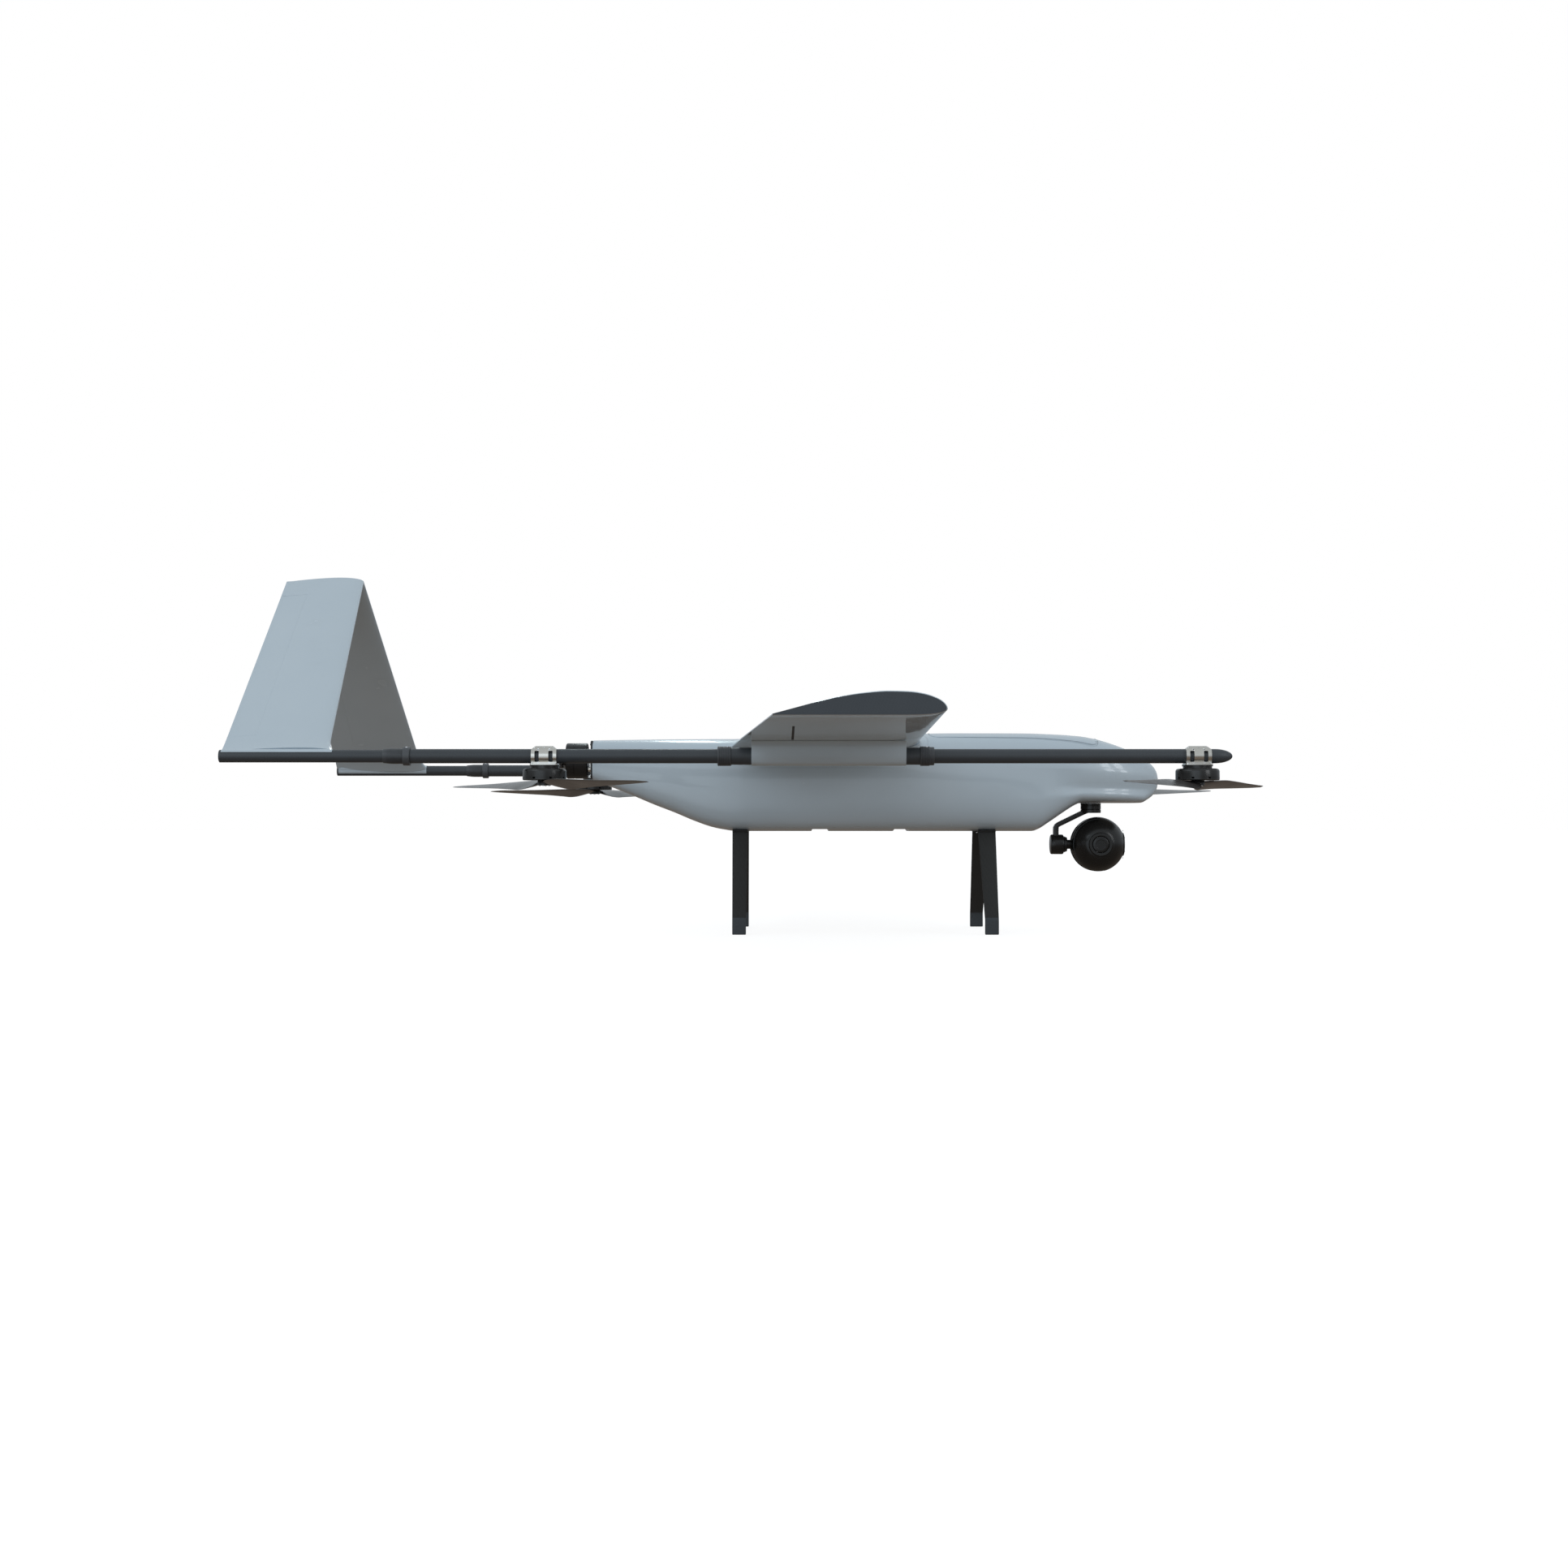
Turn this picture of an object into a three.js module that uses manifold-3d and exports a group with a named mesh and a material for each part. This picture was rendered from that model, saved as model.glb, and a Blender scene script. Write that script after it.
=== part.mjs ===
// Twin-boom VTOL fixed wing drone. Millimetres, +Z up, nose towards +X.
// Origin: centre of the bounding box in X and Y, on the ground plane in Z.
import * as THREE from 'three';
import Module from 'manifold-3d';

const wasm = await Module();
wasm.setup();

// ---------------------------------------------------------------- dimensions
const ORIGIN_X = 46.8;          // moves the drawing origin to the box centre
const GAP = 0.3;                // clearance between touching pieces

const BOOM_Y = 502;             // boom axis, each side
const BOOM_Z = 327.2;
const BOOM_D = 25;
const BOOM_ID = 22.6;
const TAIL_D = 22;
const TAIL_ID = 19;
const SOCKET_D = 30;
const SOCKET_X0 = -104, SOCKET_X1 = 249;
const BOOM_FRONT_X0 = 160, BOOM_FRONT_X1 = 750, BOOM_NOSE_X = 781;
const BOOM_REAR_X0 = -656, BOOM_REAR_X1 = -30;
const TAIL_X0 = -983, TAIL_X1 = -600;
const COLLAR_D = 34.4;

const WING_Z = 353.3;           // flat underside
const WING_ROOT_Y = 96.3;
const WING_TIP_Y = 1392;
const WING_LE = [[90, 257], [502, 244.6], [1392, 218.7]];
const WING_TE = [[90, -106], [502, -79.2], [1392, -16]];
const WING_T = 0.1415;          // height above the flat underside / chord
const SPAR_X = 150, SPAR_Z = 376.5, SPAR_D = 25, SPAR_Y = 420;
const AIL_X = 13, AIL_Y0 = 563, AIL_Y1 = 1072;

const POD_X0 = -56.5, POD_X1 = 212, POD_HW = 29, POD_Z0 = 310.4;

const MOTOR_X = [720, -417];
const LIFT_R = 312;             // lift propeller radius
const PUSH_Z = 333.8, PUSH_R = 190;

const TAIL_APEX_Z = 687.7;
const TAIL_TE = -982, TAIL_LE_ROOT = -795, TAIL_LE_APEX = -830;
const RUD_X = -931;

const LEG_X = [393.6, -85];

const GIM_X = 604.5, BALL_X = 617.4, BALL_Z = 169.6, BALL_R = 54;

// ------------------------------------------------------------------ mesh kit
const sub3 = (a, b) => [a[0] - b[0], a[1] - b[1], a[2] - b[2]];
function volume(m) {
  let s = 0;
  for (const [a, b, c] of m.t) {
    const p = m.v[a], q = m.v[b], r = m.v[c];
    s += p[0] * (q[1] * r[2] - q[2] * r[1]) - p[1] * (q[0] * r[2] - q[2] * r[0]) + p[2] * (q[0] * r[1] - q[1] * r[0]);
  }
  return s / 6;
}
function outward(m) {
  if (volume(m) < 0) m.t = m.t.map(([a, b, c]) => [a, c, b]);
  return m;
}
function map(m, f) {
  return outward({ v: m.v.map(f), t: m.t.map((x) => x.slice()) });
}
const move = (m, x, y, z) => map(m, (p) => [p[0] + x, p[1] + y, p[2] + z]);
const mirrorY = (m) => map(m, (p) => [p[0], -p[1], p[2]]);
const rot = (m, ax, deg) => {
  const c = Math.cos((deg * Math.PI) / 180), s = Math.sin((deg * Math.PI) / 180);
  if (ax === 'x') return map(m, (p) => [p[0], c * p[1] - s * p[2], s * p[1] + c * p[2]]);
  if (ax === 'y') return map(m, (p) => [c * p[0] + s * p[2], p[1], -s * p[0] + c * p[2]]);
  return map(m, (p) => [c * p[0] - s * p[1], s * p[0] + c * p[1], p[2]]);
};
// profile turned about +Z: [[r, z], ...]; starts and ends on the axis, or is a closed loop
function revolve(pts, seg) {
  const onAxis = pts[0][0] < 1e-6;
  const v = [], t = [], ring = [];
  for (const [r, z] of pts) {
    if (r < 1e-6) { ring.push([v.length]); v.push([0, 0, z]); } else {
      const row = [];
      for (let i = 0; i < seg; i++) {
        const a = (2 * Math.PI * i) / seg;
        row.push(v.length);
        v.push([r * Math.cos(a), r * Math.sin(a), z]);
      }
      ring.push(row);
    }
  }
  const n = onAxis ? pts.length - 1 : pts.length;
  for (let k = 0; k < n; k++) {
    const A = ring[k], B = ring[(k + 1) % pts.length];
    for (let i = 0; i < seg; i++) {
      const j = (i + 1) % seg;
      if (A.length > 1 && B.length > 1) t.push([A[i], A[j], B[j]], [A[i], B[j], B[i]]);
      else if (A.length > 1) t.push([A[i], A[j], B[0]]);
      else if (B.length > 1) t.push([A[0], B[j], B[i]]);
    }
  }
  return outward({ v, t });
}
const alongX = (m) => map(m, (p) => [p[2], p[0], p[1]]);   // axis Z -> X
const alongY = (m) => map(m, (p) => [p[1], p[2], p[0]]);   // axis Z -> Y
function capTris(poly) {
  const c = poly.map((p) => new THREE.Vector2(p[0], p[1]));
  return THREE.ShapeUtils.triangulateShape(c, []);
}
// rings: equal-length closed 3-D outlines; flat gives the 2-D outline used to close an end
function loft(rings, flat) {
  const v = [], t = [], n = rings[0].length;
  for (const r of rings) for (const p of r) v.push(p.slice());
  for (let k = 0; k + 1 < rings.length; k++) {
    for (let i = 0; i < n; i++) {
      const j = (i + 1) % n, a = k * n, b = (k + 1) * n;
      t.push([a + i, a + j, b + j], [a + i, b + j, b + i]);
    }
  }
  const last = (rings.length - 1) * n;
  for (const [a, b, c] of capTris(rings[0].map(flat))) t.push(fix(rings[0].map(flat), a, b, c, true));
  for (const [a, b, c] of capTris(rings[rings.length - 1].map(flat))) {
    const f = fix(rings[rings.length - 1].map(flat), a, b, c, false);
    t.push([f[0] + last, f[1] + last, f[2] + last]);
  }
  return outward({ v, t });
  function fix(p, a, b, c, first) {
    let area = 0;
    for (let i = 0; i < p.length; i++) { const q = p[(i + 1) % p.length]; area += p[i][0] * q[1] - q[0] * p[i][1]; }
    const tri = (p[b][0] - p[a][0]) * (p[c][1] - p[a][1]) - (p[c][0] - p[a][0]) * (p[b][1] - p[a][1]);
    const same = (tri > 0) === (area > 0);
    const want = first ? !same : same;
    return want ? [a, b, c] : [a, c, b];
  }
}
const box = (x0, x1, y0, y1, z0, z1) => loft([
  [[x0, y0, z0], [x0, y1, z0], [x0, y1, z1], [x0, y0, z1]],
  [[x1, y0, z0], [x1, y1, z0], [x1, y1, z1], [x1, y0, z1]],
], (p) => [p[1], p[2]]);
const cylX = (r, x0, x1, y, z, seg = 24) => move(alongX(revolve([[0, x0], [r, x0], [r, x1], [0, x1]], seg)), 0, y, z);
const cylY = (r, y0, y1, x, z, seg = 24) => move(alongY(revolve([[0, y0], [r, y0], [r, y1], [0, y1]], seg)), x, 0, z);
const cylZ = (r, z0, z1, x, y, seg = 24) => move(revolve([[0, z0], [r, z0], [r, z1], [0, z1]], seg), x, y, 0);
const tubeX = (ro, ri, x0, x1, seg = 20) => alongX(revolve([[ri, x0], [ro, x0], [ro, x1], [ri, x1]], seg));
// outline in XZ pushed from y0 to y1
const slabY = (poly, y0, y1) => loft([poly.map((p) => [p[0], y0, p[1]]), poly.map((p) => [p[0], y1, p[1]])], (p) => [p[0], p[2]]);

function toManifold(m) {
  const vp = new Float32Array(m.v.length * 3);
  m.v.forEach((p, i) => vp.set(p, i * 3));
  const tv = new Uint32Array(m.t.length * 3);
  m.t.forEach((p, i) => tv.set(p, i * 3));
  const mesh = new wasm.Mesh({ numProp: 3, vertProperties: vp, triVerts: tv });
  mesh.merge();
  return new wasm.Manifold(mesh);
}
function fromManifold(s) {
  const g = s.getMesh(), v = [], t = [], np = g.numProp;
  for (let i = 0; i < g.vertProperties.length / np; i++) v.push([g.vertProperties[i * np], g.vertProperties[i * np + 1], g.vertProperties[i * np + 2]]);
  for (let i = 0; i < g.triVerts.length / 3; i++) t.push([g.triVerts[3 * i], g.triVerts[3 * i + 1], g.triVerts[3 * i + 2]]);
  return { v, t };
}
const cut = (a, ...bs) => fromManifold(bs.reduce((s, b) => s.subtract(toManifold(b)), toManifold(a)));
const join = (a, ...bs) => fromManifold(bs.reduce((s, b) => s.add(toManifold(b)), toManifold(a)));
const common = (a, b) => fromManifold(toManifold(a).intersect(toManifold(b)));

// ------------------------------------------------------------------ assembly
const group = new THREE.Group();
group.name = 'fixed_wing_drone';
function add(name, m, color, roughness, metalness) {
  const pos = new Float32Array(m.t.length * 9);
  m.t.forEach((tri, i) => tri.forEach((k, j) => {
    pos[i * 9 + j * 3] = m.v[k][0] + ORIGIN_X;
    pos[i * 9 + j * 3 + 1] = m.v[k][1];
    pos[i * 9 + j * 3 + 2] = m.v[k][2];
  }));
  const g = new THREE.BufferGeometry();
  g.setAttribute('position', new THREE.BufferAttribute(pos, 3));
  g.computeVertexNormals();
  const mesh = new THREE.Mesh(g, new THREE.MeshStandardMaterial({ color, roughness, metalness }));
  mesh.name = name;
  group.add(mesh);
}
const C = {
  paint: [0xb4c0c9, 0.25, 0.0],
  tip: [0x43474c, 0.6, 0.0],
  carbon: [0x2d3033, 0.4, 0.1],
  black: [0x161616, 0.45, 0.1],
  alu: [0xa8a49c, 0.3, 0.9],
  motor: [0x26292b, 0.35, 0.8],
  leg: [0x33332f, 0.5, 0.1],
  lens: [0x0b0f14, 0.05, 0.0],
  pack: [0x2b3340, 0.5, 0.0],
};
const put = (name, m, c) => add(name, m, ...C[c]);
function both(name, m, c) {          // m is built on the +Y side
  put(`${name}_left`, m, c);
  put(`${name}_right`, mirrorY(m), c);
}

// ------------------------------------------------------------------ fuselage
// x, bottom z, top z, half width, height of the widest line
const FUS = [
  [-374, 295, 374, 46, 335], [-340, 282.5, 374.6, 53, 333], [-291, 263, 375.3, 64, 329],
  [-253, 247, 375.7, 73, 326], [-214, 232, 376, 81, 322], [-176, 216, 376.2, 88, 318],
  [-138, 203, 376.4, 93.5, 315], [-118, 199, 376.4, 95.5, 314], [-98, 196.2, 376.5, 97, 313],
  [-78, 195.7, 377, 98, 312], [100, 195.7, 382, 99, 311], [262, 195.7, 387, 98.5, 310],
  [340, 195.7, 387.9, 98, 309], [440, 195.7, 387.8, 97, 308], [484, 195.7, 387.4, 96, 307],
  [490, 196.7, 387.2, 95.8, 307], [515, 212, 386.2, 94.5, 306], [554, 239, 384.2, 91.5, 305],
  [568, 248.6, 383, 90, 305], [578, 250.9, 382.2, 88.6, 304], [611, 250.9, 376.5, 83, 303],
  [650, 250.9, 365, 73.5, 302], [680, 250.9, 352, 63.5, 301], [699, 251.2, 342.5, 55, 300],
  [713, 259, 334, 46, 299], [725, 269.5, 323, 36, 298], [732, 281, 311, 24, 297],
  [735, 289, 303, 12, 296.5],
];
function fusRing([x, zb, zt, w, zc], off, floor = 0) {
  const N = 24, out = [];
  for (let i = 0; i < N; i++) {
    const a = (2 * Math.PI * (i + 0.5)) / N, c = Math.cos(a), s = Math.sin(a);
    const up = s > 0, n = up ? 3.1 : 5.0;
    const y = (w + off) * Math.sign(c) * Math.abs(c) ** (2 / n);
    const h = up ? zt + off - zc : zc - (zb - off + floor);
    out.push([x, y, zc + h * Math.sign(s) * Math.abs(s) ** (2 / n)]);
  }
  // level the crown and the belly on the real top and bottom heights
  const hi = Math.max(...out.map((p) => p[2])), lo = Math.min(...out.map((p) => p[2]));
  const T = zt + off, B = zb - off + floor;
  return out.map((p) => [p[0], p[1], p[2] > zc ? zc + (p[2] - zc) * (T - zc) / (hi - zc) : zc - (zc - p[2]) * (zc - B) / (zc - lo)]);
}
const fusSolid = (off, floor, x0, x1) => {
  const st = FUS.filter((s) => s[0] > x0 && s[0] < x1);
  const at = (x) => {
    let k = 0;
    while (k < FUS.length - 2 && FUS[k + 1][0] < x) k++;
    const a = FUS[k], b = FUS[k + 1], f = (x - a[0]) / (b[0] - a[0]);
    return a.map((q, i) => q + (b[i] - q) * f);
  };
  return loft([at(x0), ...st, at(x1)].map((s) => fusRing(s, off, floor)), (p) => [p[1], p[2]]);
};
const fusOuter = fusSolid(0, 0, -374, 735);
const fusInner = fusSolid(-3, 5, -371, 724);

// airfoil outline, chord along X: [x/c, upper, lower] above the flat underside
const FOIL = [[0, 3.3, 3.3], [0.012, 5.5, 1.9], [0.03, 6.95, 1.3], [0.07, 8.75, 0.62], [0.13, 10.4, 0.2],
  [0.22, 11.5, 0], [0.34, 11.75, 0], [0.48, 10.8, 0], [0.62, 8.9, 0], [0.76, 6.15, 0], [0.88, 3.35, 0], [1, 0.55, 0]];
function foil(le, te, k = WING_T, z = WING_Z) {
  const c = le - te, f = (k / 0.1175) * c / 100, up = [], lo = [];
  for (const [x, u, l] of FOIL) { up.push([le - x * c, z + u * f]); lo.push([le - x * c, z + l * f]); }
  return [...up, ...lo.slice(1).reverse()];
}
const lin = (tab, y) => {
  let k = 0;
  while (k < tab.length - 2 && tab[k + 1][0] < y) k++;
  const [a, b] = [tab[k], tab[k + 1]];
  return a[1] + ((b[1] - a[1]) * (y - a[0])) / (b[0] - a[0]);
};
const grow = (poly, d) => {          // outline offset outwards by about d
  const n = poly.length;
  let area = 0;
  poly.forEach((p, i) => { const q = poly[(i + 1) % n]; area += p[0] * q[1] - q[0] * p[1]; });
  const s = area > 0 ? 1 : -1;
  return poly.map((p, i) => {
    const a = poly[(i + n - 1) % n], b = poly[(i + 1) % n];
    const n1 = [p[1] - a[1], a[0] - p[0]], n2 = [b[1] - p[1], p[0] - b[0]];
    const l1 = Math.hypot(...n1), l2 = Math.hypot(...n2);
    let nx = n1[0] / l1 + n2[0] / l2, ny = n1[1] / l1 + n2[1] / l2;
    const l = Math.hypot(nx, ny) || 1, cosh = Math.max(0.5, l / 2);
    nx /= l; ny /= l;
    return [p[0] + (s * nx * d) / cosh, p[1] + (s * ny * d) / cosh];
  });
};
const CENTRE_FOIL = foil(262, -112, WING_T, WING_Z);
const centreCut = slabY(grow(CENTRE_FOIL, 0.5), -120, 120);
const hatchBox = (g, z0) => box(282 + g, 612 - g, -70 + g, 70 - g, z0, 420);
const BELLY_NOTCH = [[54, 87], [213, 243]];

let shell = cut(fusOuter, fusInner, centreCut, hatchBox(0, 330));
shell = cut(shell, ...BELLY_NOTCH.map(([a, b]) => slabY([[a - 3, 190], [b + 3, 190], [b, 199.5], [a, 199.5]], -130, 130)));
put('fuselage_shell', shell, 'paint');
let hatch = common(cut(fusOuter, fusSolid(-3, 0, -371, 724)), hatchBox(0.6, 330));
put('hatch_cover', hatch, 'paint');

// battery and avionics stand on the shell floor
const FLOOR_Z = 195.7 + 8 + GAP;
put('battery_pack', box(300, 470, -39, 39, FLOOR_Z, FLOOR_Z + 72), 'pack');
put('avionics_box', box(130, 220, -36, 36, FLOOR_Z, FLOOR_Z + 34), 'black');

// -------------------------------------------------------------------- wings
const sparBore = cylY(SPAR_D / 2 + GAP, -SPAR_Y - 1, SPAR_Y + 1, SPAR_X, SPAR_Z, 20);
put('wing_centre', cut(slabY(CENTRE_FOIL, -96, 96), sparBore), 'paint');
put('wing_spar', alongYtube(SPAR_D / 2, 10.5, -SPAR_Y, SPAR_Y, SPAR_X, SPAR_Z, 20), 'carbon');
function alongYtube(ro, ri, y0, y1, x, z, seg) {
  return move(alongY(revolve([[ri, y0], [ro, y0], [ro, y1], [ri, y1]], seg)), x, 0, z);
}
const wingSec = (y, k = 1) => foil(lin(WING_LE, y), lin(WING_TE, y), WING_T * k).map((p) => [p[0], y, p[1]]);
const wingSolid = loft([wingSec(WING_ROOT_Y), wingSec(502), wingSec(WING_TIP_Y - 4), foil(lin(WING_LE, WING_TIP_Y) - 1.5, lin(WING_TE, WING_TIP_Y) + 0.6, WING_T * 0.975, WING_Z + 0.7).map((p) => [p[0], WING_TIP_Y, p[1]])], (p) => [p[0], p[2]]);
const foilH = (y, x) => {             // height of the wing above its flat underside
  const le = lin(WING_LE, y), te = lin(WING_TE, y), c = le - te, q = (le - x) / c;
  let k = 0;
  while (k < FOIL.length - 2 && FOIL[k + 1][0] < q) k++;
  const u = FOIL[k][1] + ((FOIL[k + 1][1] - FOIL[k][1]) * (q - FOIL[k][0])) / (FOIL[k + 1][0] - FOIL[k][0]);
  return (u * WING_T / 0.1175) * c / 100;
};
const ar0 = foilH(AIL_Y0, AIL_X) / 2, ar1 = foilH(AIL_Y1, AIL_X) / 2;
const aSlope = (ar1 - ar0) / (AIL_Y1 - AIL_Y0);
const ailPt = (y) => [AIL_X, y, WING_Z + ar0 + aSlope * (y - AIL_Y0)];
const ailR = (y) => ar0 + aSlope * (y - AIL_Y0);
// everything behind the hinge line plus a round nose about the hinge axis
function flapTool(x, zAt, rAt, s0, s1, g, back) {
  const ring = (s) => {
    const r = rAt(s) + g, z = zAt(s), out = [[back, z - 24], [x, z - 24]];
    for (let i = 0; i <= 8; i++) { const a = (-90 + 22.5 * i) * Math.PI / 180; out.push([x + r * Math.cos(a), z + r * Math.sin(a)]); }
    out.push([x, z + 24], [back, z + 24]);
    return out.map((p) => [p[0], s, p[1]]);
  };
  return loft([ring(s0), ring(s1)], (p) => [p[0], p[2]]);
}
export const AILERON_HINGE = [ailPt(AIL_Y0), ailPt(AIL_Y1)];
const wing = cut(wingSolid, sparBore, flapTool(AIL_X, (y) => ailPt(y)[2], ailR, AIL_Y0, AIL_Y1, 0.5, -140));
both('wing', wing, 'paint');
const aileron = common(wingSolid, flapTool(AIL_X - 0.6, (y) => ailPt(y)[2], ailR, AIL_Y0 + 0.8, AIL_Y1 - 0.8, -0.5, -140));
both('aileron', aileron, 'paint');

// ------------------------------------------------------------- pods and booms
const podHalf = [[29, 353], [24.5, 349.5], [22.6, 345], [22.2, 336], [21.6, 326], [19.6, 318.5], [15.5, 313.2], [9.5, 310.9], [0, 310.4]];
const podRing = (x) => [...podHalf.map(([y, z]) => [x, y, z]), ...podHalf.slice(0, -1).reverse().map(([y, z]) => [x, -y, z])];
let pod = loft([podRing(POD_X0), podRing(POD_X1)], (p) => [p[1], p[2]]);
pod = cut(move(pod, 0, BOOM_Y, 0), cylX(SOCKET_D / 2 + GAP, POD_X0 - 5, POD_X1 + 5, BOOM_Y, BOOM_Z, 24));
both('pod', pod, 'paint');

const boomAt = (m) => move(m, 0, BOOM_Y, BOOM_Z);
both('boom_socket', boomAt(tubeX(SOCKET_D / 2, BOOM_D / 2 + GAP, SOCKET_X0, SOCKET_X1)), 'carbon');
const noseArc = [];
for (let i = 0; i <= 4; i++) {
  const a = (Math.PI / 2) * (1 - i / 4);
  noseArc.push([(BOOM_D / 2) * Math.sin(a), BOOM_FRONT_X1 + (BOOM_NOSE_X - BOOM_FRONT_X1) * Math.cos(a)]);
}
noseArc[4][0] = 0;
both('boom_front', boomAt(alongX(revolve([[0, BOOM_FRONT_X1 - 3], [BOOM_ID / 2, BOOM_FRONT_X1 - 3], [BOOM_ID / 2, BOOM_FRONT_X0], [BOOM_D / 2, BOOM_FRONT_X0], ...noseArc], 20))), 'carbon');
both('boom_rear', boomAt(tubeX(BOOM_D / 2, BOOM_ID / 2, BOOM_REAR_X0, BOOM_REAR_X1)), 'carbon');
both('boom_tail', boomAt(tubeX(TAIL_D / 2, TAIL_ID / 2, TAIL_X0, TAIL_X1)), 'carbon');
const rS = SOCKET_D / 2 + GAP, rB = BOOM_D / 2 + GAP, rT = TAIL_D / 2 + GAP;
both('collar_front', boomAt(alongX(revolve([[rS, 236.8], [COLLAR_D / 2, 236.8], [COLLAR_D / 2, 254], [16, 254], [16, 261.2], [rB, 261.2], [rB, 249.3], [rS, 249.3]], 20))), 'black');
both('collar_rear', boomAt(alongX(revolve([[rB, -115.7], [COLLAR_D / 2, -115.7], [COLLAR_D / 2, -92], [rS, -92], [rS, -104.3], [rB, -104.3]], 20))), 'black');
both('tail_adapter', boomAt(alongX(revolve([[rT, -698], [11.9, -698], [13.4, -685], [13.4, -662.6], [16.4, -662.6], [16.4, -650.6], [rB, -650.6], [rB, -656.3], [rT, -656.3]], 20))), 'black');

// -------------------------------------------------------------- lift motors
// built about the motor axis, heights absolute
const clampHalf = [[-22, 313.4], [-22, 338.5], [-14, 345], [14, 345], [22, 338.5], [22, 313.4]];
// the jaws follow the tube round, the screw faces above stay flat
const clampBlock = common(slabY(clampHalf, -18, 18), cylX(17.8, -30, 30, 0, BOOM_Z, 40));
const clampBase = box(-24, 24, -20, 20, 311.7, 314);
let clamp = join(clampBlock, clampBase);
clamp = cut(clamp, cylX(rB, -40, 40, 0, BOOM_Z, 20),
  box(-15.7, -8.3, -30, 30, 317, 336), box(8.3, 15.7, -30, 30, 317, 336));
const stator = revolve([[0, 291.4], [21.4, 291.4], [21.4, 305.7], [26, 305.7], [26, 311.4], [0, 311.4]], 20);
const bellRaw = revolve([[0, 285.3], [38, 285.3], [38, 301.2], [36.6, 304.2], [33.4, 305.4], [23, 305.4], [23, 302.8], [34.4, 302], [34.6, 287.0], [0, 287.0]], 20);
const slotBox = rot(box(-2.6, 2.6, -60, 60, 287.6, 290.6), 'z', 22.5);
const bell = cut(bellRaw, ...[0, 45, 90, 135].map((a) => rot(slotBox, 'z', a)));

// blade: [radius, chord, pitch deg, thickness, centre height, sweep]
const LIFT_BLADE = [[0.5, 18, 10, 5, 280.2, 0], [14, 24, 14, 5.5, 279.6, 0], [25, 36, 17.5, 6, 278.2, 0], [38, 45, 18.5, 5.6, 277.2, 0],
  [55, 50, 18.8, 5.3, 276.8, 1], [76, 51, 17.5, 5, 277.4, 2], [130, 46, 14.4, 4.2, 277.8, 2], [190, 38, 12.4, 3.2, 277.8, 1],
  [250, 29, 10.5, 2.5, 278, 0], [295, 20, 9, 1.9, 278.4, -1.5], [LIFT_R, 7, 8, 1.2, 278.6, -5]];
function bladeSec([r, c, pitch, th, z, sw]) {
  const p = (pitch * Math.PI) / 180;
  const pts = [[0.5, 0], [0.34, 0.46], [0.04, 0.6], [-0.5, 0.06], [-0.5, -0.06], [0.04, -0.36], [0.34, -0.32]];
  return pts.map(([u, h]) => {
    const a = u * c + sw, b = h * th;
    return [r, a * Math.cos(p) - b * Math.sin(p), z + a * Math.sin(p) + b * Math.cos(p)];
  });
}
function propeller(blade, hubR, hubZ0, hubZ1, bore) {
  const one = loft(blade.map(bladeSec), (p) => [p[1], p[2]]);
  const hub = revolve([[0, hubZ0], [hubR - 1.5, hubZ0], [hubR, hubZ0 + 1.5], [hubR, hubZ1], [0, hubZ1]], 16);
  const two = join(one, rot(one, 'z', 180), hub);
  return bore ? cut(two, revolve([[0, hubZ0 - 5], [bore, hubZ0 - 5], [bore, hubZ0 + 2.5], [0, hubZ0 + 2.5]], 12)) : two;
}
const liftCCW = propeller(LIFT_BLADE, 12, 276.0, 285.0, 5);
const liftNames = ['front', 'rear'];
const liftProp = [rot(liftCCW, 'z', -57), rot(liftCCW, 'z', 52.5)];
MOTOR_X.forEach((x, i) => {
  const w = liftNames[i];
  both(`motor_mount_${w}`, move(clamp, x, BOOM_Y, 0), 'alu');
  both(`motor_base_${w}`, move(stator, x, BOOM_Y, 0), 'motor');
  both(`motor_bell_${w}`, move(bell, x, BOOM_Y, 0), 'motor');
  both(`prop_${w}`, move(liftProp[i], x, BOOM_Y, 0), 'carbon');
});

// ------------------------------------------------------------- pusher motor
const post = (y, z) => cylX(4, -385.2, -376, y, PUSH_Z + z, 12);
const sq = (h, c) => [[-h + c, -h], [h - c, -h], [h, -h + c], [h, h - c], [h - c, h], [-h + c, h], [-h, h - c], [-h, -h + c]];
const plate = loft([-378.2, -374.4].map((x) => sq(37.5, 8).map(([a, b]) => [x, a, 335.5 + b])), (p) => [p[1], p[2]]);
put('pusher_mount', join(plate, post(-17, -17), post(17, -17), post(17, 17), post(-17, 17)), 'alu');
const pusherAt = (m) => move(alongX(m), 0, 0, PUSH_Z);
put('pusher_stator', pusherAt(revolve([[0, -385.5], [25, -385.5], [25, -391.6], [21, -391.6], [21, -419], [0, -419]], 20)), 'motor');
const pusherBell = revolve([[0, -434], [9, -434], [9, -428.5], [32, -428.5], [35, -425.8], [35, -387.8], [33.6, -386.4], [28, -386.4], [28, -388.8], [32, -389.4], [32, -422.5], [0, -422.5]], 24);
put('pusher_bell', pusherAt(pusherBell), 'motor');
const PUSH_BLADE = [[0.5, 15, 26, 9, 0, 0], [16, 18, 28, 8, 0, 0], [34, 27, 27, 6, 0, 0], [60, 31, 23, 4.8, 0, 0],
  [105, 28, 17, 3.7, 0, 0], [155, 21, 12.8, 2.6, 0, -0.5], [180, 14, 11.5, 2, 0, -1.5], [PUSH_R, 6, 11, 1.2, 0, -3]];
let pusherProp = propeller(PUSH_BLADE, 14, -7, 7, 0);
const spinner = revolve([[0, -24], [6, -21.5], [10.5, -15.5], [13, -6.5], [13, -4], [0, -4]], 16);
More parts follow.
